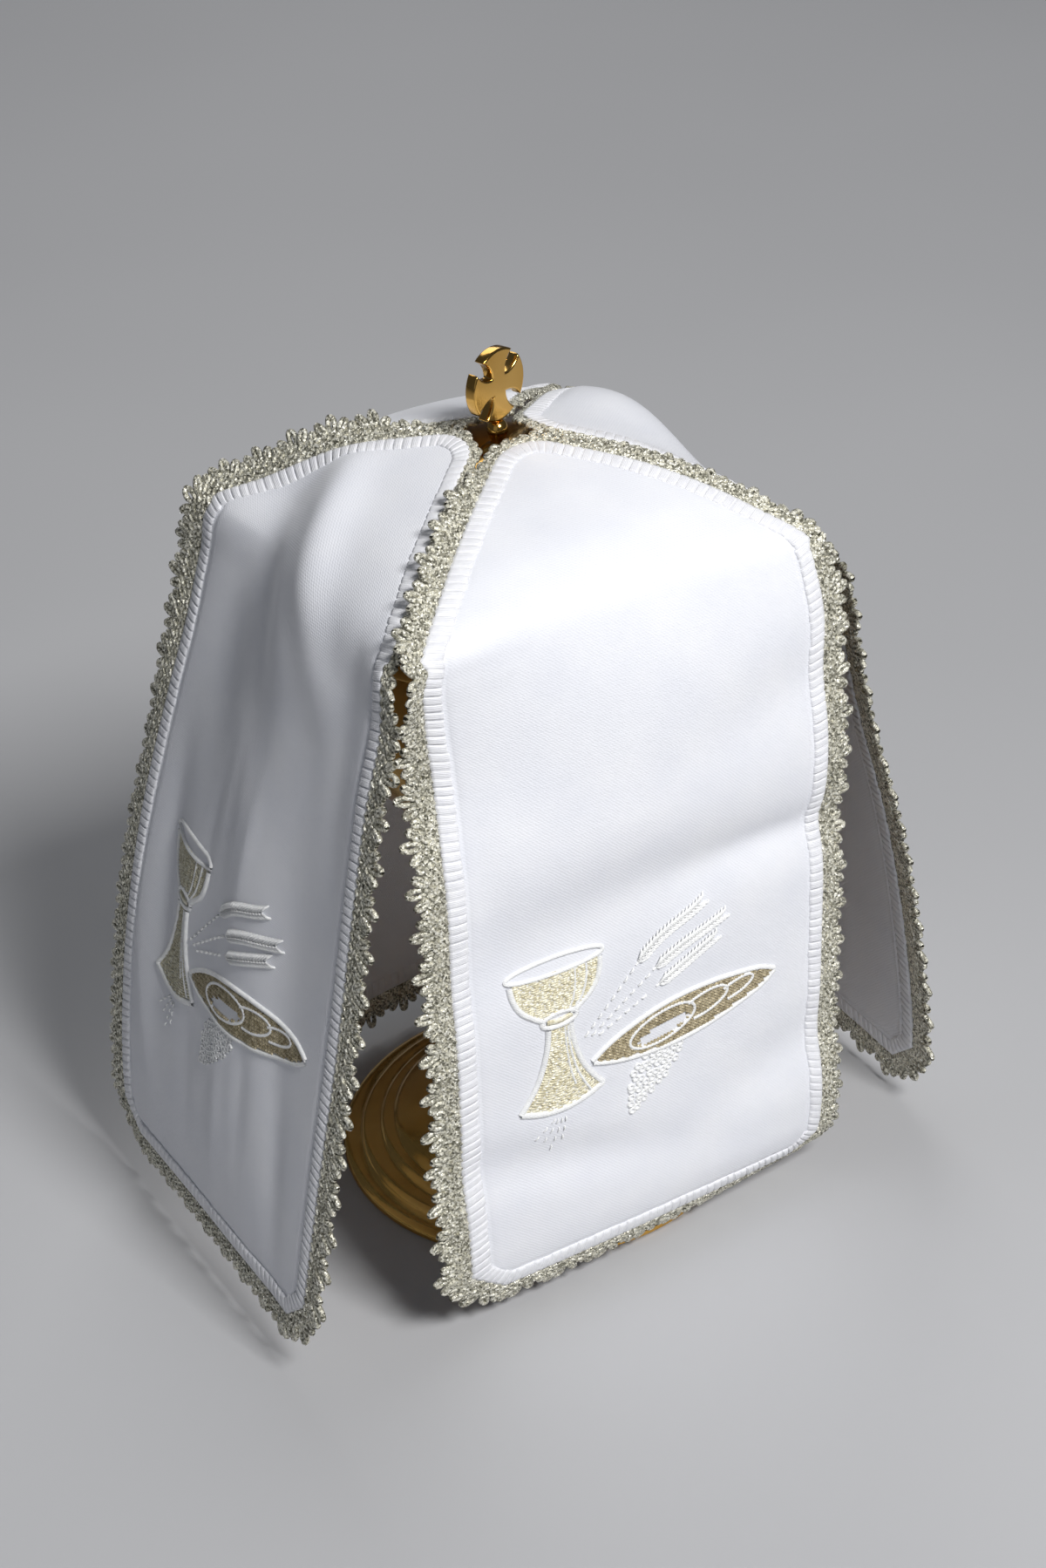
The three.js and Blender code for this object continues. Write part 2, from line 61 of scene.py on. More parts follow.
# Panel pattern laid flat, the same sizes as the solids
PANEL_HALF_WIDTH = 51.0
SEAM_INSET = 4.2
SEAM_END = 58.0
APEX_RADIUS = 11.0
HEM_DOWN = 234.5
CORNER_CHAMFER = 8.0
CLOTH_TOP_Z = 206.2
CLOTH_THICKNESS = 0.9
ROOF_DOWNS = (10.0, 30.0, 45.0, 58.0)
SEAM_CALM = (2.0, 16.0)

# Lace edging
LACE_GAP = -0.25
LACE_WIDTH = 8.6
LACE_AT_HOLE = 3.0
SCALLOP_PITCH = 10.7
HOLE_FADE = (-2.0, 14.0)

# How the lace lies on a seam: its reach, how far its tip stands off the cloth, and from where to where
# below the shoulder it comes free
TUCKED = (2.1, -1.1, 8, 48)
TUCKED_SHORT = (2.1, -1.1, -2, 16)
FLAT_OVER = (6.2, 3.8, 10, 40)
LOW_OVER = (4.8, 1.0, 0, 12)
FLARED_OVER = (LACE_WIDTH, 4.0, 20, 80)

# Corner seams: signs of x and y, then rows of (down, x reach, y reach, z)
SEAMS = {
    "front_left": (-1, -1, [
        (10, 10.8, 9.3, 206),
        (25, 26.8, 22.8, 201.5),
        (40, 42.2, 36.8, 196),
        (58, 59.8, 52.6, 186),
    ]),
    "left_back": (-1, 1, [
        (10, 10, 10, 207),
        (25, 24.6, 24.6, 203.5),
        (40, 37.6, 37.8, 194.5),
        (58, 52.5, 53.5, 184.5),
    ]),
    "right_front": (1, -1, [
        (10, 10, 10, 206.5),
        (25, 24.8, 24.6, 202.5),
        (40, 39, 38.6, 195.4),
        (58, 54.8, 54.8, 182.5),
    ]),
    "back_right": (1, 1, [
        (10, 9.8, 9.8, 204.5),
        (25, 24, 24, 199.5),
        (40, 37.4, 37, 191.5),
        (58, 52.5, 52, 182.5),
    ]),
}

# Drape of each panel. Roof: the middle line's reach out at ROOF_DOWNS. Skirt rows: down, out at the left
# rail, the middle and the right rail, along at both rails. Motif: how far the embroidery is shifted.
# Folds and creases: across, down, turn in degrees, long, wide, high.
PANELS = {
    "front": {
        "out": (0, -1),
        "along": (1, 0),
        "left": "front_left",
        "right": "right_front",
        "seam_lace": (FLAT_OVER, LOW_OVER),
        "motif": (0.0, 0.0),
        "roof": (9.9, 29.3, 43.2, 52.3),
        "skirt": [
            (63, 51.6, 54.1, 55.6, -61.2, 55.7),
            (72, 49.4, 56.5, 56.5, -60.6, 57),
            (90, 48.4, 59, 57.5, -59.2, 57.2),
            (110, 52.8, 59.5, 58, -60.8, 56.8),
            (150, 57, 59.5, 58, -63, 55.8),
            (190, 57.5, 59.5, 58.5, -64.6, 54.5),
            (216, 58, 61, 59.5, -64.8, 54),
            (225, 57.8, 60.6, 58.3, -64.8, 53.6),
            (234, 56.3, 58.3, 53.8, -64.6, 53),
            (242, 53.5, 54.6, 47.5, -64.3, 52.5),
            (250, 49.5, 50, 41, -64, 52),
        ],
        "folds": [
            (32, 132, 0, 36, 8, -2.4),
            (-28, 138, -8, 32, 12, -1.8),
            (5, 113, -4, 55, 12, 1.2),
            (40, 92, -15, 24, 10, -1.6),
            (-24, 204, 18, 34, 9, -2),
            (38, 197, -18, 26, 9, -1.6),
        ],
        "creases": [
            (38, 131, -2, 22, 4, -0.8),
            (-30, 192, 20, 24, 6, 0.5),
            (-12, 214, 14, 36, 6, 0.5),
            (-42, 118, 80, 30, 5, -0.4),
        ],
    },
    "left": {
        "out": (-1, 0),
        "along": (0, -1),
        "left": "left_back",
        "right": "front_left",
        "seam_lace": (FLARED_OVER, TUCKED_SHORT),
        "motif": (4.0, -6.0),
        "roof": (9.9, 29.3, 43.2, 53.5),
        "skirt": [
            (72, 53.5, 60.5, 62, -58, 55.5),
            (90, 58.5, 66, 67, -59.5, 55.5),
            (110, 65.5, 72, 71.5, -60.5, 56),
            (150, 79, 82.5, 79.5, -61, 56),
            (190, 89, 91, 88, -60, 55),
            (225, 94.5, 96, 95, -57.5, 53.5),
            (250, 94.5, 97, 100, -56, 52),
        ],
        "folds": [
            (-2, 48, 48, 32, 7, 3),
            (-16, 69, 62, 36, 10, -3.2),
            (6, 128, 84, 60, 13, 1.8),
            (30, 150, 90, 60, 12, -1.5),
            (-33, 146, 80, 34, 8, -2.2),
        ],
        "creases": [
            (-28, 84, 84, 34, 13, -4.5),
            (-34, 150, 84, 26, 3.5, -0.8),
            (-13, 126, 92, 18, 2.2, -0.6),
            (-4, 124, 88, 16, 2, -0.5),
            (6, 128, 94, 18, 2.4, 0.5),
            (14, 186, 90, 20, 2.6, -0.6),
            (-14, 190, 88, 22, 3, -0.6),
            (2, 196, 92, 20, 3, 0.6),
            (30, 196, 84, 26, 4, -0.8),
            (-40, 186, 80, 26, 4, 0.8),
            (38, 90, 86, 36, 5, -0.7),
        ],
    },
    "back": {
        "out": (0, 1),
        "along": (-1, 0),
        "left": "back_right",
        "right": "left_back",
        "seam_lace": (TUCKED, TUCKED),
        "motif": (2.0, -2.0),
        "roof": (9.7, 29, 42.8, 53),
        "skirt": [
            (72, 56, 57, 55, -55, 56),
            (90, 61.5, 61, 57, -56, 57),
            (110, 66.5, 64.5, 59, -57, 58),
            (150, 72, 67.5, 61, -57, 58),
            (190, 72.5, 67.5, 62, -57, 58),
            (225, 69.5, 65, 61, -56.5, 57),
            (250, 62, 59.5, 56, -56, 56.5),
        ],
        "folds": [(-15, 150, 90, 60, 14, 1.5), (18, 160, 85, 60, 12, -1.5)],
        "creases": [
            (-8, 122, 90, 22, 3, -0.6),
            (6, 120, 94, 18, 2.5, 0.5),
            (20, 200, 86, 24, 3.5, -0.7),
            (-30, 196, 92, 26, 4, 0.7),
        ],
    },
    "right": {
        "out": (1, 0),
        "along": (0, 1),
        "left": "right_front",
        "right": "back_right",
        "seam_lace": (TUCKED_SHORT, TUCKED),
        "motif": (1.0, -3.0),
        "roof": (9.8, 29, 42.5, 50.5),
        "skirt": [
            (72, 60, 57.5, 57, -55.5, 54.5),
            (90, 62.5, 64, 63, -56, 55.5),
            (110, 66, 70, 69, -56.5, 56.5),
            (150, 76, 78.5, 78, -57, 57),
            (190, 83, 84, 84.5, -57, 57),
            (225, 86.5, 87, 88.5, -56.5, 56.5),
            (250, 85.5, 86.5, 89.5, -55.5, 55.5),
        ],
        "folds": [(12, 40, 0, 20, 12, 4.2), (-28, 46, 0, 16, 12, -3), (5, 150, 90, 60, 14, 1.5)],
        "creases": [
            (-10, 122, 88, 20, 3, -0.6),
            (4, 118, 92, 20, 2.5, 0.5),
            (-24, 196, 88, 26, 3.5, -0.7),
            (24, 198, 94, 26, 4, 0.7),
        ],
    },
}


# Drape

def ease(x, low, high):
    t = np.clip((x - low) / (high - low), 0.0, 1.0)
    return t * t * (3 - 2 * t)


def curve_through(xs, ys, x):
    """A smooth curve through rows of (x, y), with each row's slope taken from its neighbours."""
    xs = np.asarray(xs, float)
    ys = np.asarray(ys, float)
    gaps = np.diff(xs)
    rises = np.diff(ys) / gaps
    slopes = np.empty_like(ys)
    slopes[0] = rises[0]
    slopes[-1] = rises[-1]
    slopes[1:-1] = (rises[:-1] * gaps[1:] + rises[1:] * gaps[:-1]) / (gaps[1:] + gaps[:-1])
    i = np.clip(np.searchsorted(xs, x) - 1, 0, len(xs) - 2)
    width = gaps[i]
    t = (x - xs[i]) / width
    return (
        (1 + 2 * t) * (1 - t) ** 2 * ys[i]
        + t * (1 - t) ** 2 * width * slopes[i]
        + t * t * (3 - 2 * t) * ys[i + 1]
        + t * t * (t - 1) * width * slopes[i + 1]
    )


def hang(downs, outs, alongs, heights):
    """A rail runs down the cloth with no stretch: what a row moves sideways it loses in height."""
    zs = list(heights)
    for i in range(len(zs), len(downs)):
        sideways = math.hypot(outs[i] - outs[i - 1], alongs[i] - alongs[i - 1])
        length = downs[i] - downs[i - 1]
        zs.append(zs[-1] - math.sqrt(length * length - sideways * sideways))
    return zs


def edge_rail(panel, corner, downs, out_column, along_column):
    sign_x, sign_y, rows = SEAMS[corner]
    seam_downs, xs, ys, zs = np.array(rows, float).T
    roof = np.array(ROOF_DOWNS)
    x = sign_x * curve_through(seam_downs, xs, roof)
    y = sign_y * curve_through(seam_downs, ys, roof)
    z = curve_through(seam_downs, zs, roof)
    skirt = np.array(panel["skirt"], float)
    out = np.concatenate([x * panel["out"][0] + y * panel["out"][1], skirt[:, out_column]])
    along = np.concatenate([x * panel["along"][0] + y * panel["along"][1], skirt[:, along_column]])
    return np.array([out, along, hang(downs, out, along, z)])


def panel_rails(panel):
    skirt = np.array(panel["skirt"], float)
    downs = np.concatenate([ROOF_DOWNS, skirt[:, 0]])
    mid_out = np.concatenate([panel["roof"], skirt[:, 2]])
    mid_along = np.zeros_like(downs)
    mid = np.array([mid_out, mid_along, hang(downs, mid_out, mid_along, [CLOTH_TOP_Z])])
    left = edge_rail(panel, panel["left"], downs, 1, 4)
    right = edge_rail(panel, panel["right"], downs, 3, 5)
    return downs, left, mid, right


def drape_base(rails, across, down):
    downs, left, mid, right = rails
    q = across / np.minimum(down, SEAM_END)
    parts = []
    for k in range(3):
        low = curve_through(downs, left[k], down)
        centre = curve_through(downs, mid[k], down)
        high = curve_through(downs, right[k], down)
        parts.append(centre + (high - low) / 2 * q + ((high + low) / 2 - centre) * q * q)
    return np.stack(parts, -1)


def fold_height(rows, across, down):
    calm = ease(down - np.abs(across), *SEAM_CALM)
    total = np.zeros_like(across)
    for place, level, turn, length, width, high in rows:
        angle = math.radians(turn)
        a = across - place
        d = down - level
        u = (a * math.cos(angle) + d * math.sin(angle)) / length
        v = (d * math.cos(angle) - a * math.sin(angle)) / width
        total += calm * high * np.exp(-u * u - v * v)
    return total


def lay(panel, across, down, lift):
    """Points and outward normals in space for places on a panel, lifted above its middle surface."""
    across = np.asarray(across, float)
    down = np.asarray(down, float)
    rails = panel["rails"]
    step = 0.5
    point = drape_base(rails, across, down)
    across_step = drape_base(rails, across + step, down) - drape_base(rails, across - step, down)
    down_step = drape_base(rails, across, down + step) - drape_base(rails, across, down - step)
    normal = np.cross(down_step, across_step)
    normal /= np.linalg.norm(normal, axis=-1, keepdims=True)
    rise = fold_height(panel["folds"] + panel["creases"], across, down) + lift
    point = point + normal * rise[..., None]

    def world(v):
        x = v[..., 0] * panel["out"][0] + v[..., 1] * panel["along"][0]
        y = v[..., 0] * panel["out"][1] + v[..., 1] * panel["along"][1]
        return np.stack([x, y, v[..., 2]], -1)

    return world(point), world(normal)


for panel in PANELS.values():
    panel["rails"] = panel_rails(panel)


# Mesh helpers

def make_piece(name, points, faces, material, uv=None, material_index=None):
    """A smooth mesh of quads from points in millimetres."""
    points = np.asarray(points, np.float32).reshape(-1, 3) * MM
    faces = np.asarray(faces, np.int32)
    mesh = bpy.data.meshes.new(name)
    mesh.vertices.add(len(points))
    mesh.vertices.foreach_set("co", points.ravel())
    mesh.loops.add(faces.size)
    mesh.loops.foreach_set("vertex_index", faces.ravel())
    mesh.polygons.add(len(faces))
    mesh.polygons.foreach_set("loop_start", np.arange(0, faces.size, 4, dtype=np.int32))
    mesh.polygons.foreach_set("use_smooth", np.ones(len(faces), bool))
    if material_index is not None:
        mesh.polygons.foreach_set("material_index", np.asarray(material_index, np.int32))
    mesh.update(calc_edges=True)
    if uv is not None:
        layer = mesh.uv_layers.new(name="cut")
        layer.data.foreach_set("uv", np.asarray(uv, np.float32)[faces.ravel()].ravel())
    mesh.validate()
    for one in material if isinstance(material, list) else [material]:
        mesh.materials.append(one)
    piece = bpy.data.objects.new(name, mesh)
    bpy.context.scene.collection.objects.link(piece)
    return piece


def grid_faces(rows, columns, ring_rows=False, ring_columns=False, start=0):
    i = np.arange(rows if ring_rows else rows - 1)
    j = np.arange(columns if ring_columns else columns - 1)
    i, j = np.meshgrid(i, j, indexing="ij")
    i2 = (i + 1) % rows
    j2 = (j + 1) % columns
    quads = np.stack([i * columns + j, i2 * columns + j, i2 * columns + j2, i * columns + j2], -1)
    return quads.reshape(-1, 4) + start


def tubes(points, normals, half_width, half_height, sides):
    """Tubes along n paths of m points; half_width lies along the cloth and half_height stands off it."""
    n, m, _ = points.shape
    tangent = np.gradient(points, axis=1)
    tangent /= np.linalg.norm(tangent, axis=-1, keepdims=True) + 1e-9
    side = np.cross(tangent, normals)
    side /= np.linalg.norm(side, axis=-1, keepdims=True) + 1e-9
    top = np.cross(side, tangent)
    angle = np.arange(sides) * 2 * math.pi / sides
    wide = np.broadcast_to(np.asarray(half_width, float), (n, m))[..., None, None]
    high = np.broadcast_to(np.asarray(half_height, float), (n, m))[..., None, None]
    sideways = side[:, :, None] * np.cos(angle)[:, None] * wide
    upward = top[:, :, None] * np.sin(angle)[:, None] * high
    verts = (points[:, :, None] + sideways + upward).reshape(-1, 3)
    one = grid_faces(m, sides, ring_columns=True)
    faces = (one[None] + (np.arange(n) * m * sides)[:, None, None]).reshape(-1, 4)
    return verts, faces


# Materials

def new_material(name):
    made = bpy.data.materials.new(name)
    made.use_nodes = True
    nodes = made.node_tree.nodes
    links = made.node_tree.links
    return made, nodes, links, nodes["Principled BSDF"]


def noise_node(nodes, links, coords, scale, detail, roughness=0.5):
    node = nodes.new("ShaderNodeTexNoise")
    node.inputs["Scale"].default_value = scale
    node.inputs["Detail"].default_value = detail
    node.inputs["Roughness"].default_value = roughness
    links.new(coords, node.inputs["Vector"])
    return node


def ramp_node(nodes, links, factor, stops):
    node = nodes.new("ShaderNodeValToRGB")
    ramp = node.color_ramp
    ramp.elements[0].position, ramp.elements[0].color = stops[0][0], (*stops[0][1], 1)
    ramp.elements[1].position, ramp.elements[1].color = stops[-1][0], (*stops[-1][1], 1)
    for place, colour in stops[1:-1]:
        ramp.elements.new(place).color = (*colour, 1)
    links.new(factor, node.inputs["Fac"])
    return node


def bump_node(nodes, links, height, distance, strength, below=None):
    node = nodes.new("ShaderNodeBump")
    node.inputs["Strength"].default_value = strength
    node.inputs["Distance"].default_value = distance
    links.new(height, node.inputs["Height"])
    if below is not None:
        links.new(below.outputs["Normal"], node.inputs["Normal"])
    return node


def wave_node(nodes, links, coords, scale, direction, distortion=0.0):
    node = nodes.new("ShaderNodeTexWave")
    node.wave_type = "BANDS"
    node.bands_direction = direction
    node.inputs["Scale"].default_value = scale
    node.inputs["Distortion"].default_value = distortion
    node.inputs["Detail"].default_value = 0.0
    links.new(coords, node.inputs["Vector"])
    return node


def satin_material():
    """White satin: a fine slanting weave, a soft sheen and slight unevenness of tone."""
    made, nodes, links, shader = new_material("white_satin")
    uv = nodes.new("ShaderNodeTexCoord").outputs["UV"]
    tone = noise_node(nodes, links, uv, 60, 3)
    stops = [(0.3, (0.80, 0.81, 0.86)), (0.7, (0.85, 0.855, 0.89))]
    colour = ramp_node(nodes, links, tone.outputs["Fac"], stops)
    links.new(colour.outputs["Color"], shader.inputs["Base Color"])
    gloss = noise_node(nodes, links, uv, 240, 2)
    rough = nodes.new("ShaderNodeMapRange")
    rough.inputs["To Min"].default_value = 0.42
    rough.inputs["To Max"].default_value = 0.6
    links.new(gloss.outputs["Fac"], rough.inputs["Value"])
    links.new(rough.outputs["Result"], shader.inputs["Roughness"])
    weave = wave_node(nodes, links, uv, 700, "DIAGONAL", 1.5)
    warp = wave_node(nodes, links, uv, 560, "Y", 1.0)
    grain = noise_node(nodes, links, uv, 1500, 2)
    bump = bump_node(nodes, links, weave.outputs["Fac"], 0.0001, 0.25)
    bump = bump_node(nodes, links, warp.outputs["Fac"], 0.0001, 0.2, bump)
    bump = bump_node(nodes, links, grain.outputs["Fac"], 0.00012, 0.35, bump)
    links.new(bump.outputs["Normal"], shader.inputs["Normal"])
    shader.inputs["Sheen Weight"].default_value = 0.25
    shader.inputs["Sheen Roughness"].default_value = 0.4
    shader.inputs["Specular IOR Level"].default_value = 0.35
    return made


def thread_material(name, low, high, metallic, roughness, thread_scale):
    """Embroidery thread: tone varies along it, and fine ridges give its twist."""
    made, nodes, links, shader = new_material(name)
    coords = nodes.new("ShaderNodeTexCoord")
    tone = noise_node(nodes, links, coords.outputs["Object"], 900, 2)
    colour = ramp_node(nodes, links, tone.outputs["Fac"], [(0.35, low), (0.65, high)])
    links.new(colour.outputs["Color"], shader.inputs["Base Color"])
    twist = wave_node(nodes, links, coords.outputs["Object"], thread_scale, "DIAGONAL", 2.0)
    bump = bump_node(nodes, links, twist.outputs["Fac"], 0.00012, 0.4)
    links.new(bump.outputs["Normal"], shader.inputs["Normal"])
    shader.inputs["Metallic"].default_value = metallic
    shader.inputs["Roughness"].default_value = roughness
    shader.inputs["Sheen Weight"].default_value = 0.2
    return made


def border_material():
    """Satin-stitched border: thread after thread across the edge."""
    made, nodes, links, shader = new_material("white_stitched_border")
    uv = nodes.new("ShaderNodeTexCoord").outputs["UV"]
    tone = noise_node(nodes, links, uv, 500, 3)
    stops = [(0.3, (0.82, 0.82, 0.86)), (0.7, (0.9, 0.9, 0.92))]
    colour = ramp_node(nodes, links, tone.outputs["Fac"], stops)
    links.new(colour.outputs["Color"], shader.inputs["Base Color"])
    threads = wave_node(nodes, links, uv, 800, "X", 1.2)
    grain = noise_node(nodes, links, uv, 1600, 2)
    bump = bump_node(nodes, links, threads.outputs["Fac"], 0.00015, 0.45)
    bump = bump_node(nodes, links, grain.outputs["Fac"], 0.0001, 0.3, bump)
    links.new(bump.outputs["Normal"], shader.inputs["Normal"])
    shader.inputs["Roughness"].default_value = 0.5
    shader.inputs["Sheen Weight"].default_value = 0.2
    return made


def lace_material():
    """Silver lace thread: bright and dark flecks of foil wound on a core."""
    made, nodes, links, shader = new_material("silver_lace_thread")
    coords = nodes.new("ShaderNodeTexCoord").outputs["Object"]
    cells = nodes.new("ShaderNodeTexVoronoi")
    cells.inputs["Scale"].default_value = 2100
    links.new(coords, cells.inputs["Vector"])
    fleck = nodes.new("ShaderNodeSeparateColor")
    links.new(cells.outputs["Color"], fleck.inputs["Color"])
    stops = [
        (0.0, (0.13, 0.125, 0.09)),
        (0.3, (0.38, 0.365, 0.29)),
        (0.65, (0.78, 0.75, 0.62)),
        (1.0, (1.0, 0.98, 0.88)),
    ]
    colour = ramp_node(nodes, links, fleck.outputs["Red"], stops)
    links.new(colour.outputs["Color"], shader.inputs["Base Color"])
    rough = nodes.new("ShaderNodeMapRange")
    rough.inputs["To Min"].default_value = 0.22
    rough.inputs["To Max"].default_value = 0.55
    links.new(fleck.outputs["Green"], rough.inputs["Value"])
    links.new(rough.outputs["Result"], shader.inputs["Roughness"])
    grain = noise_node(nodes, links, coords, 2600, 3)
    bump = bump_node(nodes, links, cells.outputs["Distance"], 0.0003, 0.6)
    bump = bump_node(nodes, links, grain.outputs["Fac"], 0.0003, 0.7, bump)
    links.new(bump.outputs["Normal"], shader.inputs["Normal"])
    shader.inputs["Metallic"].default_value = 0.45
    return made


def gilt_material():
    """Polished gold plate with faint turning lines and a little wear."""
    made, nodes, links, shader = new_material("polished_gilt")
    coords = nodes.new("ShaderNodeTexCoord").outputs["Object"]
    tone = noise_node(nodes, links, coords, 45, 3)
    stops = [(0.3, (0.64, 0.36, 0.08)), (0.7, (0.78, 0.48, 0.14))]
    colour = ramp_node(nodes, links, tone.outputs["Fac"], stops)
    links.new(colour.outputs["Color"], shader.inputs["Base Color"])
    wear = noise_node(nodes, links, coords, 180, 4)
    rough = nodes.new("ShaderNodeMapRange")
    rough.inputs["To Min"].default_value = 0.08
    rough.inputs["To Max"].default_value = 0.24
    links.new(wear.outputs["Fac"], rough.inputs["Value"])
    links.new(rough.outputs["Result"], shader.inputs["Roughness"])
    lines = nodes.new("ShaderNodeTexWave")
    lines.wave_type = "RINGS"
    lines.rings_direction = "Z"
    lines.inputs["Scale"].default_value = 500
    lines.inputs["Distortion"].default_value = 0.6
    links.new(coords, lines.inputs["Vector"])
    bump = bump_node(nodes, links, lines.outputs["Fac"], 0.00002, 0.12)
    links.new(bump.outputs["Normal"], shader.inputs["Normal"])
    shader.inputs["Metallic"].default_value = 1.0
    return made


satin = satin_material()
border_thread = border_material()
lace_thread = lace_material()
gilt = gilt_material()
white_thread = thread_material("white_thread", (0.88, 0.88, 0.88), (0.98, 0.98, 0.96), 0.0, 0.36, 900)
cream_thread = thread_material("cream_gold_thread", (0.62, 0.56, 0.37), (0.95, 0.91, 0.74), 0.15, 0.36, 900)
loaf_thread = thread_material("beige_gold_thread", (0.30, 0.24, 0.13), (0.66, 0.57, 0.38), 0.25, 0.38, 900)


# Outline of the flat panel, as corners that each carry the way out from the cloth

APEX_CENTRE_DOWN = SEAM_INSET + APEX_RADIUS * math.sqrt(2)
APEX_DOWN = APEX_CENTRE_DOWN - APEX_RADIUS
APEX_TANGENT_DOWN = SEAM_INSET + APEX_RADIUS * math.sqrt(0.5)
SHOULDER_DOWN = PANEL_HALF_WIDTH + SEAM_INSET
CHAMFER_DOWN = HEM_DOWN - CORNER_CHAMFER
HEM_HALF = PANEL_HALF_WIDTH - CORNER_CHAMFER
TAN_EIGHTH = math.tan(math.pi / 8)


def outline_corners():
    """Rows of across, down and the mitred way out, from the right end of the apex arc round to it again."""
    diagonal = math.sqrt(0.5)
    tangent = APEX_RADIUS * diagonal
    right = [
        (tangent, APEX_TANGENT_DOWN, diagonal, -diagonal),
        (PANEL_HALF_WIDTH, SHOULDER_DOWN, 1.0, -TAN_EIGHTH),
        (PANEL_HALF_WIDTH, CHAMFER_DOWN, 1.0, TAN_EIGHTH),
        (HEM_HALF, HEM_DOWN, TAN_EIGHTH, 1.0),
    ]
    left = [(-a, d, -va, vd) for a, d, va, vd in reversed(right)]
    arc = []
    for degrees in range(-40, 45, 5):
        angle = math.radians(degrees)
        way = (math.sin(angle), -math.cos(angle))
        arc.append((APEX_RADIUS * way[0], APEX_CENTRE_DOWN + APEX_RADIUS * way[1], *way))
    return np.array(right + left + arc)


CORNERS = outline_corners()
RUNS = np.roll(CORNERS, -1, axis=0) - CORNERS
RUN_LENGTHS = np.hypot(RUNS[:, 0], RUNS[:, 1])
RUN_STARTS = np.concatenate([[0], np.cumsum(RUN_LENGTHS)])
OUTLINE_LENGTH = RUN_STARTS[-1]
STRAIGHT_RUNS = 7


def on_outline(s, out):
    """Across and down of the place that lies s along the outline and this far out from the cloth's edge."""
    s = np.mod(s, OUTLINE_LENGTH)
    run = np.clip(np.searchsorted(RUN_STARTS, s, side="right") - 1, 0, len(RUN_LENGTHS) - 1)
    t = (s - RUN_STARTS[run]) / RUN_LENGTHS[run]
    row = CORNERS[run] + RUNS[run] * t[..., None]
    return row[..., 0] + row[..., 2] * out, row[..., 1] + row[..., 3] * out


def half_width(down):
    apex = np.sqrt(np.maximum(APEX_RADIUS**2 - (APEX_CENTRE_DOWN - down) ** 2, 0.0))
    chamfer = PANEL_HALF_WIDTH - np.maximum(0.0, down - CHAMFER_DOWN)
    body = np.minimum(np.minimum(down - SEAM_INSET, PANEL_HALF_WIDTH), chamfer)
    return np.where(down < APEX_TANGENT_DOWN, apex, body)


# Cloth

SHEET_ROWS = 160
SHEET_COLUMNS = 44
EDGE_STEPS = (0.0, 1.4, 2.8, 3.7, 4.3, 4.8, 5.3, 6.0, 7.0)
PINCH_PLACE = 4.8
PINCH_WIDTH = 0.55
PINCH_DEPTH = 0.38


def sheet_lines(low, high, count):
    """Even lines between two ends, with close ones beside each end where the border pinches the cloth."""
    steps = np.array(EDGE_STEPS)
    middle = np.linspace(steps[-1], high - low - steps[-1], count + 2)[1:-1]
    return low + np.concatenate([steps, middle, high - low - steps[::-1]])


def make_cloth(side, panel):
    apex = APEX_DOWN + 0.05 + 3.0 * np.linspace(0, 1, 10) ** 2
    lower = sheet_lines(apex[-1], HEM_DOWN - 0.3, SHEET_ROWS)[1:]
    share = sheet_lines(-PANEL_HALF_WIDTH, PANEL_HALF_WIDTH, SHEET_COLUMNS) / PANEL_HALF_WIDTH
    down = np.concatenate([apex, lower])[:, None] * np.ones(len(share))
    half = (half_width(down[:, :1]) - 0.3).clip(0.05)
    across = share[None] * half
    inset = np.minimum((1 - np.abs(share))[None] * half, HEM_DOWN - down)
    pinch = PINCH_DEPTH * np.exp(-(((inset - PINCH_PLACE) / PINCH_WIDTH) ** 2)) * ease(half, 8.0, 20.0)
    above, _ = lay(panel, across, down, CLOTH_THICKNESS / 2 - pinch)
    below, _ = lay(panel, across, down, -CLOTH_THICKNESS / 2 - pinch)
    rows, columns = down.shape
    count = rows * columns
    top = grid_faces(rows, columns)
    bottom = grid_faces(rows, columns, start=count)[:, ::-1]
    rim = np.concatenate([
        np.arange(columns),
        np.arange(1, rows) * columns + columns - 1,
        (rows - 1) * columns + np.arange(columns - 2, -1, -1),
        np.arange(rows - 2, 0, -1) * columns,
    ])
    after = np.roll(rim, -1)
    wall = np.stack([rim, after, after + count, rim + count], -1)
    flat = np.stack([across, -down], -1).reshape(-1, 2) * MM
    return make_piece(
        f"cloth_{side}",
        np.concatenate([above.reshape(-1, 3), below.reshape(-1, 3)]),
        np.concatenate([top, bottom, wall]),
        satin,
        np.concatenate([flat, flat]),
    )


# Stitched border: rows of in (from the cloth's edge inwards) and lift, round the edge from face to face
BORDER_PROFILE = [
    (4.55, 0.3), (4.35, 0.7), (3.7, 0.86), (2.3, 0.93), (0.9, 0.86), (0.1, 0.55),
    (0.1, -0.55), (0.9, -0.86), (2.3, -0.93), (3.7, -0.86), (4.35, -0.7), (4.55, -0.3),
]
RIB_PITCH = 2.3
RIB_STEPS = 8
RIB_DEPTH = 0.5
RIB_GROOVE = 0.1


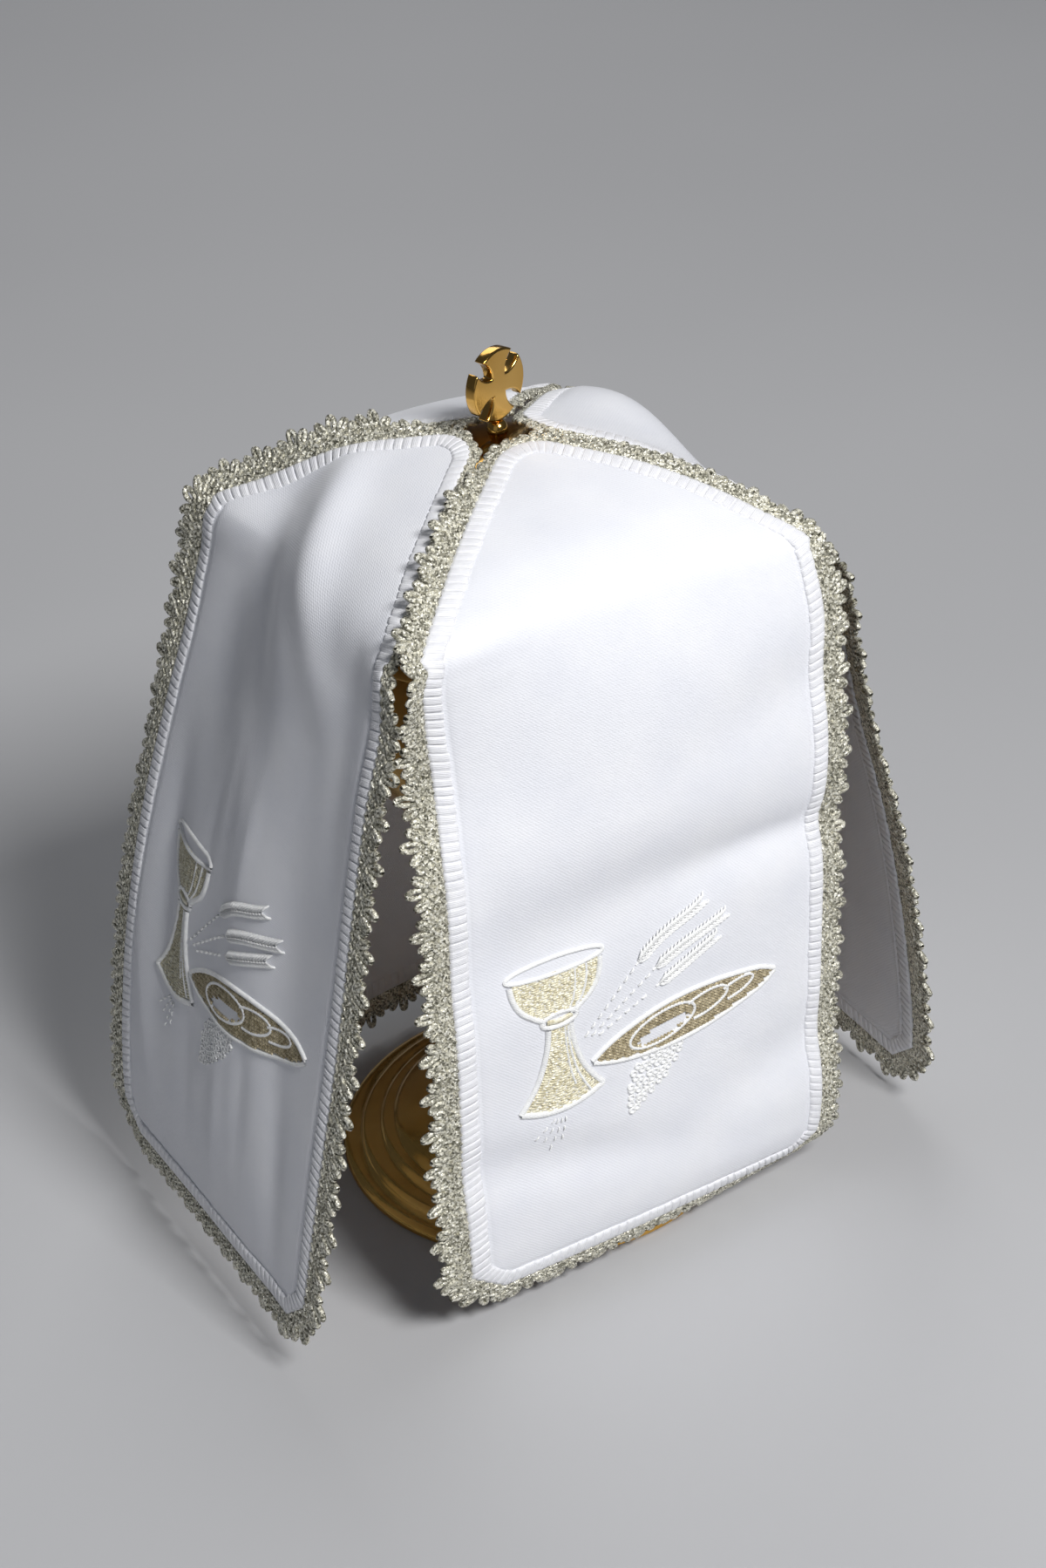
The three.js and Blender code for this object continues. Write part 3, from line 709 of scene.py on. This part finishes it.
def make_border(side, panel, rng):
    ribs = int(round(OUTLINE_LENGTH / RIB_PITCH))
    steps = ribs * RIB_STEPS
    s = np.arange(steps) * OUTLINE_LENGTH / steps
    phase = (np.arange(steps) % RIB_STEPS) / RIB_STEPS
    groove = np.exp(-((np.minimum(phase, 1 - phase) / RIB_GROOVE) ** 2))
    depth = RIB_DEPTH * np.repeat(rng.uniform(0.5, 1.2, ribs), RIB_STEPS)
    wander = np.repeat(rng.normal(0, 0.08, ribs), RIB_STEPS)
    inward, lift = np.array(BORDER_PROFILE).T
    a, d = on_outline(s[:, None] + 0 * inward, -(inward[None] + wander[:, None] * (inward > 4)))
    sink = groove[:, None] * depth[:, None] * (np.abs(lift) > 0.6) * np.sign(lift)
    points, _ = lay(panel, a, d, lift[None] - sink)
    girth = np.concatenate([[0], np.cumsum(np.hypot(np.diff(inward), np.diff(lift)))])
    uv = np.stack([s[:, None] + 0 * girth, 0 * s[:, None] + girth], -1).reshape(-1, 2) * MM
    faces = grid_faces(steps, len(inward), ring_rows=True, ring_columns=True)[:, ::-1]
    return make_piece(f"border_{side}", points, faces, border_thread, uv)


# Lace: a dense heading of looped thread, and for each scallop one long loop between short ones

HEADING_STEP = 0.8
HEADING_PROFILE = [
    (0.0, 0.1), (0.3, 0.45), (1.2, 0.5), (2.3, 0.48), (3.4, 0.5), (4.2, 0.4), (4.5, 0.05),
    (4.2, -0.35), (3.4, -0.45), (1.2, -0.45), (0.3, -0.4),
]
HEADING_ROWS = (0.75, 2.0, 3.3)
HEADING_WAVES = 4
HEADING_POINTS = 17
HEADING_SWAY = 0.5
HEADING_RADIUS = 0.5
THREAD_SIDES = 6

# Loops of a scallop: place along the pitch, how far out its middle lies, turn, half length, half width,
# thread radius
LOOPS = [
    (0.5, 6.0, 0, 2.0, 0.86, 0.72),
    (0.235, 5.2, -34, 1.5, 0.62, 0.72),
    (0.765, 5.2, 34, 1.5, 0.62, 0.72),
    (0.0, 4.5, 0, 0.8, 0.6, 0.6),
]
LOOP_POINTS = 13


def lace_width_and_lift(panel, across, down):
    rows = np.array(panel["seam_lace"], float)[(across >= 0).astype(int)]
    wide, rise, start, end = np.moveaxis(rows, -1, 0)
    on_seam = 1 - ease(down - SHOULDER_DOWN, start, end)
    from_hole = ease(down - APEX_TANGENT_DOWN, *HOLE_FADE)
    lapped = LACE_WIDTH + (wide - LACE_WIDTH) * on_seam
    at_hole = np.minimum(LACE_AT_HOLE, wide)
    width = at_hole + (lapped - at_hole) * from_hole
    lift = rise * on_seam * np.where(rise > 0, from_hole, 1.0)
    return width, lift


def lay_lace(panel, s, out, high):
    a, d = on_outline(s, np.zeros_like(out))
    width, lift = lace_width_and_lift(panel, a, d)
    share = out / LACE_WIDTH
    a, d = on_outline(s, LACE_GAP + share * (width - LACE_GAP))
    slim = 0.55 + 0.45 * width / LACE_WIDTH
    return lay(panel, a, d, high * slim + lift * share)


def scallop_places():
    """Start and pitch of each scallop: whole ones along each straight run, and two round the hole."""
    places = []
    for k in range(STRAIGHT_RUNS):
        count = max(1, round(RUN_LENGTHS[k] / SCALLOP_PITCH))
        pitch = RUN_LENGTHS[k] / count
        places += [(RUN_STARTS[k] + n * pitch, pitch) for n in range(count)]
    arc = OUTLINE_LENGTH - RUN_STARTS[STRAIGHT_RUNS]
    places += [(RUN_STARTS[STRAIGHT_RUNS] + n * arc / 2, arc / 2) for n in range(2)]
    return np.array(places)


def make_lace(side, panel, rng):
    start, pitch = scallop_places().T
    count = len(start)
    steps = int(OUTLINE_LENGTH / HEADING_STEP)
    out, high = np.array(HEADING_PROFILE).T
    s = np.arange(steps) * OUTLINE_LENGTH / steps
    bumps = 0.1 * rng.normal(size=(steps, len(out)))
    band, _ = lay_lace(panel, s[:, None] + 0 * out, out + bumps * (out > 3), high + bumps)
    parts = [(band.reshape(-1, 3), grid_faces(steps, len(out), ring_rows=True, ring_columns=True))]
    t = np.linspace(0, 1, HEADING_POINTS)
    for k, row in enumerate(HEADING_ROWS):
        phase = 2 * math.pi * HEADING_WAVES * t + k * math.pi / 2
        s = start[:, None] + pitch[:, None] * t
        out = row + HEADING_SWAY * (1 + 0.25 * rng.normal(size=(count, 1))) * np.sin(phase)
        high = 0.35 + 0.15 * np.cos(phase + k * math.pi) + 0 * out
        points, normals = lay_lace(panel, s, out, high)
        parts.append(tubes(points, normals, HEADING_RADIUS, HEADING_RADIUS, THREAD_SIDES))
    turn = np.linspace(0, 2 * math.pi, LOOP_POINTS)
    for k, (place, middle, degrees, half_length, half_width, radius) in enumerate(LOOPS):
        angle = np.radians(degrees + 5 * rng.normal(size=(count, 1)))
        size = 1 + 0.05 * rng.normal(size=(count, 1))
        radial = size * half_length * np.cos(turn)
        lateral = size * half_width * np.sin(turn)
        along = radial * np.sin(angle) + lateral * np.cos(angle)
        out = middle + radial * np.cos(angle) - lateral * np.sin(angle)
        s = start[:, None] + pitch[:, None] * (place + along / SCALLOP_PITCH)
        high = (0.25 if k else 0.0) + 0.1 * rng.normal(size=(count, 1)) + 0 * out
        points, normals = lay_lace(panel, s, out, high)
        parts.append(tubes(points, normals, radius, radius, THREAD_SIDES))
    verts, faces = join(parts)
    return make_piece(f"lace_{side}_threads", verts, faces, lace_thread)


def join(parts):
    verts = []
    faces = []
    start = 0
    for points, quads in parts:
        verts.append(points)
        faces.append(quads + start)
        start += len(points)
    return np.concatenate(verts), np.concatenate(faces)


# Embroidery: a chalice, a loaf, ears of wheat and grapes, drawn in the flat pattern's millimetres

STITCH_LIFT = 0.55
WHITE, CREAM, BEIGE = 0, 1, 2


class Stitching:
    """Collects threads laid on one panel and joins them into a piece with a material for each colour."""

    def __init__(self, panel, shift):
        self.panel = panel
        self.shift = shift
        self.parts = []
        self.colours = []

    def add(self, across, down, high, half, tall, colour, sides=4):
        points, normals = lay(self.panel, across + self.shift[0], down + self.shift[1], STITCH_LIFT + high)
        part = tubes(points, normals, half, tall, sides)
        self.parts.append(part)
        self.colours.append(np.full(len(part[1]), colour))

    def stitches(self, start, end, half, colour, arch=0.22):
        """Short separate threads from each start to its end, standing up a little in the middle."""
        start = np.asarray(start, float)
        end = np.asarray(end, float)
        t = np.array([0, 0.25, 0.75, 1])
        line = start[:, None] + (end - start)[:, None] * t[None, :, None]
        high = arch * np.array([-1.6, 1, 1, -1.6]) + 0 * line[..., 0]
        taper = half * np.array([0.55, 1, 1, 0.55])
        self.add(line[..., 0], line[..., 1], high, taper, taper * 0.8, colour)

    def stroke(self, points, half, colour, tall=None, step=0.6):
        """One raised cord along a smooth line."""
        line = resample(points, step)
        level = np.zeros((1, len(line)))
        self.add(line[None, :, 0], line[None, :, 1], level, half, tall or half * 0.75, colour, 6)

    def dashes(self, points, half, colour, dash=1.7, gap=0.9):
        line = resample(points, 0.1)
        length = 0.1 * (len(line) - 1)
        starts = np.arange(0, length - dash, dash + gap)
        first = (starts / 0.1).astype(int)
        last = ((starts + dash) / 0.1).astype(int)
        self.stitches(line[first], line[last], half, colour)

    def piece(self, name):
        verts, faces = join(self.parts)
        colours = np.concatenate(self.colours)
        threads = [white_thread, cream_thread, loaf_thread]
        return make_piece(name, verts, faces, threads, material_index=colours)


def resample(points, step):
    """Even points on a smooth line through the given ones."""
    points = np.asarray(points, float)
    if len(points) > 2:
        order = np.arange(len(points))
        fine = np.linspace(0, len(points) - 1, 20 * (len(points) - 1) + 1)
        points = np.stack([curve_through(order, column, fine) for column in points.T], -1)
    lengths = np.concatenate([[0], np.cumsum(np.hypot(*np.diff(points, axis=0).T))])
    count = max(2, int(round(lengths[-1] / step)) + 1)
    at = np.linspace(0, lengths[-1], count)
    return np.stack([np.interp(at, lengths, points[:, 0]), np.interp(at, lengths, points[:, 1])], -1)


def ellipse(centre, half, turn=0.0, count=24):
    angle = np.linspace(0, 2 * math.pi, count + 1)
    x = half[0] * np.cos(angle)
    y = half[1] * np.sin(angle)
    c, s = math.cos(math.radians(turn)), math.sin(math.radians(turn))
    return np.stack([centre[0] + x * c - y * s, centre[1] + x * s + y * c], -1)


# Chalice: half its width at each distance down, from the lip to the knop and from the knop to the base
CHALICE_AXIS = -26.5
BOWL_ROWS = [(146.6, 11.2), (149.4, 10.9), (152.4, 10), (155, 8.4), (157.2, 6), (158.6, 4.2)]
STEM_ROWS = [(161.8, 2.8), (166, 3.1), (171, 4.1), (176, 5.8), (180, 8), (183.4, 10.4)]


def chalice(work, rng):
    for rows, bow in ((BOWL_ROWS, 0.0), (STEM_ROWS, 2.6)):
        downs, halves = np.array(rows).T
        starts = []
        ends = []
        for down in np.arange(downs[0] + 0.3, downs[-1], 0.62):
            half = float(curve_through(downs, halves, np.array(down))) - 0.5
            offset = rng.uniform(0, 2.4)
            cuts = np.concatenate([[-half], np.arange(-half + offset, half, 2.4), [half]])
            sag = bow * (1 - (cuts / (half + 0.5)) ** 2) * (down - downs[0]) / (downs[-1] - downs[0])
            line = np.stack([CHALICE_AXIS + cuts, down + sag], -1)
            starts.append(line[:-1])
            ends.append(line[1:])
        work.stitches(np.concatenate(starts), np.concatenate(ends), 0.36, CREAM, 0.12)
        for sign in (-1, 1):
            edge = np.stack([CHALICE_AXIS + sign * halves, downs], -1)
            work.stroke(edge, 0.85, WHITE, 0.65)
            if sign > 0:
                outer = np.stack([CHALICE_AXIS + 0.68 * halves, downs + 0.5], -1)
                inner = np.stack([CHALICE_AXIS + 0.42 * halves, downs + 0.5], -1)
                work.stroke(outer, 0.42, WHITE, 0.5)
                work.stroke(inner[:-1], 0.36, WHITE, 0.45)
    work.stroke(ellipse((CHALICE_AXIS, 145), (12.2, 2.1)), 0.55, WHITE, 0.55)
    work.stroke(ellipse((CHALICE_AXIS, 159.7), (4.4, 1.9)), 0.7, WHITE, 0.6)
    knop = [(CHALICE_AXIS - 3.2, 159.7), (CHALICE_AXIS, 160.2), (CHALICE_AXIS + 3.2, 159.7)]
    work.stroke(knop, 0.7, CREAM, 0.5)
    base_down, base_half = STEM_ROWS[-1]
    base = np.linspace(-base_half, base_half, 9)
    bow = base_down + 3 * (1 - (base / base_half) ** 2)
    work.stroke(np.stack([CHALICE_AXIS + base, bow], -1), 0.95, WHITE, 0.65)


# Loaf: its long axis, its half height along it, and the strands on it (place along it, rise, turn, half
# sizes). The first strand shows its crumb, and each later one shows only the end that isn't covered.
LOAF_LEFT = (-18.6, 176.4)
LOAF_RIGHT = (34.6, 169.6)
LOAF_HALF_ROWS = [
    (0, 0.3), (0.08, 2.6), (0.22, 5), (0.42, 6.5), (0.62, 6), (0.8, 4.3), (0.93, 2.4), (1, 0.3),
]
LOAF_STRANDS = [(0.36, -0.4, -6, 9.4, 4.2), (0.58, -0.8, -8, 7.6, 3), (0.76, -0.6, -10, 6, 2)]
LOAF_ARC = 9
CRUMB_SHARE = (0.8, 0.5)
LATTICE_PITCH = 0.95


def loaf(work):
    left = np.array(LOAF_LEFT)
    axis = np.array(LOAF_RIGHT) - left
    length = float(np.hypot(*axis))
    way = axis / length
    over = np.array([-way[1], way[0]])
    places, halves = np.array(LOAF_HALF_ROWS).T

    def at(share, rise):
        return left + share[..., None] * axis + rise[..., None] * over

    def in_crumb(share, rise):
        inside = np.zeros(share.shape, bool)
        for place, height, turn, long, wide in LOAF_STRANDS[:1]:
            c, s = math.cos(math.radians(turn)), math.sin(math.radians(turn))
            x = (share - place) * length
            y = rise - height
            u = (x * c + y * s) / (CRUMB_SHARE[0] * long)
            v = (y * c - x * s - 0.35 * wide) / (CRUMB_SHARE[1] * wide)
            inside |= u * u + v * v < 1
        return inside

    x, y = np.meshgrid(np.arange(0, length, LATTICE_PITCH), np.arange(-8.0, 8.0, LATTICE_PITCH))
    share = (x / length).ravel()
    rise = y.ravel()
    keep = (np.abs(rise) < curve_through(places, halves, share) - 0.7) & ~in_crumb(share, rise)
    share = share[keep]
    rise = rise[keep]
    arm = 0.62 * LATTICE_PITCH
    for sign in (1, -1):
        start = at(share - arm / length, rise - sign * arm)
        end = at(share + arm / length, rise + sign * arm)
        work.stitches(start, end, 0.3, BEIGE, 0.16 + 0.06 * sign)
    edge = np.linspace(0, 1, 15)
    half = curve_through(places, halves, edge)
    for sign in (-1, 1):
        work.stroke(at(edge, sign * half), 0.7, WHITE, 0.6)
    for k, (place, height, turn, long, wide) in enumerate(LOAF_STRANDS):
        centre = left + place * axis + height * over
        lean = turn + math.degrees(math.atan2(way[1], way[0]))
        line = ellipse(centre, (long, wide), lean)
        if k > 0:
            line = np.concatenate([line[-LOAF_ARC:-1], line[:LOAF_ARC]])
        work.stroke(line, 0.55, WHITE, 0.55)


# Wheat: root, middle and tip of each ear's line
EARS = [
    ((-20.4, 168), (-3, 150.2), (11.4, 142.6)),
    ((-18.6, 168.4), (0.6, 155), (17.4, 148.2)),
    ((-16.8, 169), (2, 160), (14.8, 153.8)),
]
EAR_SHARE = 0.5
GRAIN_STEP = 1.2
GRAIN_LENGTH = 4.0


def wheat(work):
    for root, middle, tip in EARS:
        line = resample([root, middle, tip], 0.1)
        cut = int(len(line) * (1 - EAR_SHARE))
        work.dashes(line[:cut:10], 0.38, WHITE)
        spine = line[cut:]
        work.stroke(spine[::12], 0.3, WHITE)
        grains = np.arange(4, len(spine) - 2, int(GRAIN_STEP / 0.1))
        heading = np.gradient(spine, axis=0)[grains]
        heading /= np.linalg.norm(heading, axis=1, keepdims=True)
        for sign in (-1, 1):
            angle = math.radians(24 * sign)
            turn = np.array([[math.cos(angle), math.sin(angle)], [-math.sin(angle), math.cos(angle)]])
            beard = heading @ turn
            start = spine[grains] + 0.2 * beard
            work.stitches(start, start + GRAIN_LENGTH * beard, 0.42, WHITE, 0.4)


# Grapes: how many lie in each row of the bunch, from the top
GRAPE_ROWS = (6, 7, 7, 6, 6, 5, 4, 3, 2)
GRAPE_TOP = (0.2, 181.2)
GRAPE_LEAN = -1.05
GRAPE_RADIUS = 0.74
GRAPE_STEP = 1.9
GRAPE_DROP = 1.75


def grapes(work, rng):
    for row, count in enumerate(GRAPE_ROWS):
        for k in range(count):
            across = GRAPE_TOP[0] + GRAPE_LEAN * row + (k - (count - 1) / 2) * GRAPE_STEP
            centre = np.array([across, GRAPE_TOP[1] + row * GRAPE_DROP]) + 0.22 * rng.normal(size=2)
            work.stroke(ellipse(centre, (GRAPE_RADIUS, GRAPE_RADIUS), count=8), 0.33, WHITE, 0.42, 0.55)


# Rays of running stitch under the chalice: foot, end
RAYS = [
    ((-28.6, 188.4), (-34.6, 193.6)),
    ((-27.8, 188.8), (-32.6, 196)),
    ((-26.9, 189), (-30.2, 198.6)),
    ((-26, 189), (-27.2, 196)),
]


def make_embroidery(side, panel, rng):
    work = Stitching(panel, panel["motif"])
    chalice(work, rng)
    loaf(work)
    wheat(work)
    grapes(work, rng)
    for foot, end in RAYS:
        work.dashes([foot, end], 0.24, WHITE, 1.6, 1.1)
    return work.piece(f"embroidery_{side}")


rng = np.random.default_rng(SEED)
for side, panel in PANELS.items():
    cloth = make_cloth(side, panel)
    border = make_border(side, panel, rng)
    lace = make_lace(side, panel, rng)
    embroidery = make_embroidery(side, panel, rng)
    for piece, slot in ((cloth, "satin"), (border, "satin"), (lace, "silver_lace"), (embroidery, "satin")):
        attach(piece, "root")
    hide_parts(f"panel_{side}")
    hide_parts(f"lace_{side}")


# Ciborium: turned profiles of radius and height, finer than the solids

LATHE_STEPS = 96
PROFILES = {
    "foot": [
        (0, 0), (51.6, 0), (52.5, 0.7), (52.5, 1.7), (51.8, 2.6), (50, 3.1), (47.9, 3.3),
        (47.4, 3.9), (47, 4.7), (46, 5.2), (44, 5.5), (42.6, 5.7), (42, 6.2), (41.6, 7),
        (40.6, 7.5), (39, 7.7), (38.4, 8.1), (37.9, 9), (36.6, 9.9), (32, 12), (25, 15.5),
        (18, 20.5), (14.2, 25), (12.2, 29), (11, 33), (10.5, 36), (0, 36),
    ],
    "stem": [
        (0, 36.3), (8.6, 36.3), (9, 36.8), (8, 40), (7, 46), (6.4, 53), (6.6, 58.6), (7.4, 60.2),
        (9, 62), (12, 64), (14.6, 66.6), (16, 71), (14.6, 75.4), (12, 78), (9, 80), (7.4, 81.8),
        (6.6, 83.4), (6.8, 88), (7.8, 94), (11, 99.6), (10.8, 100), (0, 100),
    ],
    "cup": [
        (0, 100.3), (12, 100.3), (18, 102.6), (25, 107), (31.5, 113), (36, 119), (40, 126.5),
        (42.8, 135), (44.8, 143), (45.8, 151), (46, 164.4), (45.6, 165), (0, 165),
    ],
    "lid": [
        (0, 165.3), (47.4, 165.3), (48, 166), (48, 167.6), (47.4, 169.6), (46.2, 173.4),
        (44, 179.5), (41.4, 183.8), (38, 187.5), (33.4, 191.8), (28, 195.2), (23, 197.4),
        (18, 198.8), (12, 200.2), (9, 200.9), (6.4, 201.3), (5.6, 201.4), (0, 201.4),
    ],
    "finial_bead": [
        (0, 201.7), (3.9, 201.7), (4.2, 202), (4.1, 202.4), (3.6, 202.8), (2.3, 203.2),
        (1.8, 203.7), (1.7, 204.6), (2, 205.6), (2.42, 206.6), (2.5, 207.3), (2.34, 208.2),
        (1.9, 209), (1.3, 209.6), (0, 209.6),
    ],
}


def make_turned(node, profile):
    radius, height = np.array(profile).T
    angle = np.arange(LATHE_STEPS) * 2 * math.pi / LATHE_STEPS
    rim = np.maximum(radius, 0.02)[:, None]
    x = rim * np.cos(angle)
    y = rim * np.sin(angle)
    z = height[:, None] + 0 * x
    faces = grid_faces(len(profile), LATHE_STEPS, ring_columns=True)[:, ::-1]
    piece = make_piece(f"{node}_turned", np.stack([x, y, z], -1), faces, gilt)
    soften = piece.modifiers.new("soften", "EDGE_SPLIT")
    soften.split_angle = math.radians(50)
    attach(piece, "root")
    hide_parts(node)


for node, profile in PROFILES.items():
    make_turned(node, profile)

# Cross: the outline of the solid with its edges rounded over

CROSS_RADIUS = 8.8
CROSS_HALF_THICKNESS = 1.5
CROSS_ROUNDING = 0.5
CROSS_CENTRE = 218.7
CROSS_TURN = 18.0
GAP_ROOT = 3.2
GAP_BELLY = (5.8, 22.0)
GAP_MOUTH = 10.0


def polar(radius, degrees):
    return np.array([radius * math.cos(math.radians(degrees)), radius * math.sin(math.radians(degrees))])


def bend(start, pull, end, count):
    t = np.linspace(0, 1, count, endpoint=False)[:, None]
    return (1 - t) ** 2 * start + 2 * t * (1 - t) * pull + t * t * end


def make_cross():
    outline = []
    for gap in (45, 135, 225, 315):
        rim = np.linspace(gap - 90 + GAP_MOUTH, gap - GAP_MOUTH, 16, endpoint=False)
        outline += [polar(CROSS_RADIUS, degrees) for degrees in rim]
        root = polar(GAP_ROOT, gap)
        pulls = [polar(GAP_BELLY[0], gap + side * GAP_BELLY[1]) for side in (-1, 1)]
        outline += list(bend(polar(CROSS_RADIUS, gap - GAP_MOUTH), pulls[0], root, 10))
        outline += list(bend(root, pulls[1], polar(CROSS_RADIUS, gap + GAP_MOUTH), 10))
    curve = bpy.data.curves.new("cross_outline", "CURVE")
    curve.dimensions = "2D"
    curve.fill_mode = "BOTH"
    curve.extrude = (CROSS_HALF_THICKNESS - CROSS_ROUNDING) * MM
    curve.bevel_depth = CROSS_ROUNDING * MM
    curve.bevel_resolution = 3
    curve.offset = -CROSS_ROUNDING * MM
    line = curve.splines.new("POLY")
    line.points.add(len(outline) - 1)
    line.points.foreach_set("co", np.array([(x * MM, y * MM, 0, 1) for x, y in outline]).ravel())
    line.use_cyclic_u = True
    drawn = bpy.data.objects.new("cross_drawn", curve)
    mesh = bpy.data.meshes.new_from_object(drawn)
    stand = Matrix.Rotation(math.radians(CROSS_TURN), 4, "Z") @ Matrix.Rotation(math.pi / 2, 4, "X")
    mesh.transform(Matrix.Translation((0, 0, CROSS_CENTRE * MM)) @ stand)
    bpy.data.objects.remove(drawn)
    bpy.data.curves.remove(curve)
    mesh.materials.clear()
    mesh.materials.append(gilt)
    mesh.name = "finial_cross_rounded"
    piece = bpy.data.objects.new("finial_cross_rounded", mesh)
    bpy.context.scene.collection.objects.link(piece)
    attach(piece, "root")
    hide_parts("finial_cross")


make_cross()


# Floor, light and camera. Lights: name, place and aim in metres, size in metres, watts, colour.

LIGHTS = [
    ("key", (0.12, -1.08, 1.28), (0, 0, 0.12), 0.45, 25.5, (1, 1, 1)),
    ("fill", (-1.2, -0.9, 0.8), (0, 0, 0.1), 1.2, 1.0, (0.86, 0.92, 1.0)),
    ("rim", (0.5, 1.1, 1.0), (0, 0, 0.15), 0.8, 4, (1, 1, 1)),
]
WORLD_COLOUR = (0.78, 0.84, 0.96, 1)
WORLD_STRENGTH = 0.08
FLOOR_HALF_SIZE = 4000.0


def make_floor():
    made, nodes, links, shader = new_material("pale_floor")
    coords = nodes.new("ShaderNodeTexCoord").outputs["Object"]
    tone = noise_node(nodes, links, coords, 3, 2)
    stops = [(0.3, (0.50, 0.50, 0.51)), (0.7, (0.53, 0.53, 0.54))]
    colour = ramp_node(nodes, links, tone.outputs["Fac"], stops)
    links.new(colour.outputs["Color"], shader.inputs["Base Color"])
    shader.inputs["Roughness"].default_value = 0.55
    half = FLOOR_HALF_SIZE
    corners = np.array([(-half, -half, 0), (half, -half, 0), (half, half, 0), (-half, half, 0)], float)
    floor = make_piece("floor", corners, [(0, 1, 2, 3)], made)


def add_area(name, place, aim, size, power, colour):
    data = bpy.data.lights.new(name, "AREA")
    data.shape = "SQUARE"
    data.size = size
    data.energy = power
    data.color = colour
    light = bpy.data.objects.new(name, data)
    light.location = place
    light.rotation_euler = (Vector(aim) - Vector(place)).to_track_quat("-Z", "Y").to_euler()
    bpy.context.scene.collection.objects.link(light)


def make_camera():
    azimuth, elevation, roll = (math.radians(x) for x in (CAMERA_AZIMUTH, CAMERA_ELEVATION, CAMERA_ROLL))
    back = Vector((
        math.sin(azimuth) * math.cos(elevation),
        -math.cos(azimuth) * math.cos(elevation),
        math.sin(elevation),
    ))
    level = Vector((math.cos(azimuth), math.sin(azimuth), 0))
    up = back.cross(level)
    right = math.cos(roll) * level + math.sin(roll) * up
    top = -math.sin(roll) * level + math.cos(roll) * up
    data = bpy.data.cameras.new("camera")
    data.lens = CAMERA_LENS
    data.sensor_fit = "VERTICAL"
    data.sensor_height = SENSOR_HEIGHT
    data.clip_start = 0.01
    camera = bpy.data.objects.new("camera", data)
    turn = Matrix((right, top, back)).transposed().to_4x4()
    place = (Vector(CAMERA_TARGET) + back * CAMERA_DISTANCE) * MM
    camera.matrix_world = Matrix.Translation(place) @ turn
    bpy.context.scene.collection.objects.link(camera)
    bpy.context.scene.camera = camera


make_floor()
for row in LIGHTS:
    add_area(*row)
world = bpy.data.worlds.new("studio")
world.use_nodes = True
background = world.node_tree.nodes["Background"]
background.inputs["Color"].default_value = WORLD_COLOUR
background.inputs["Strength"].default_value = WORLD_STRENGTH
bpy.context.scene.world = world
bpy.context.scene.view_settings.view_transform = "Standard"
make_camera()
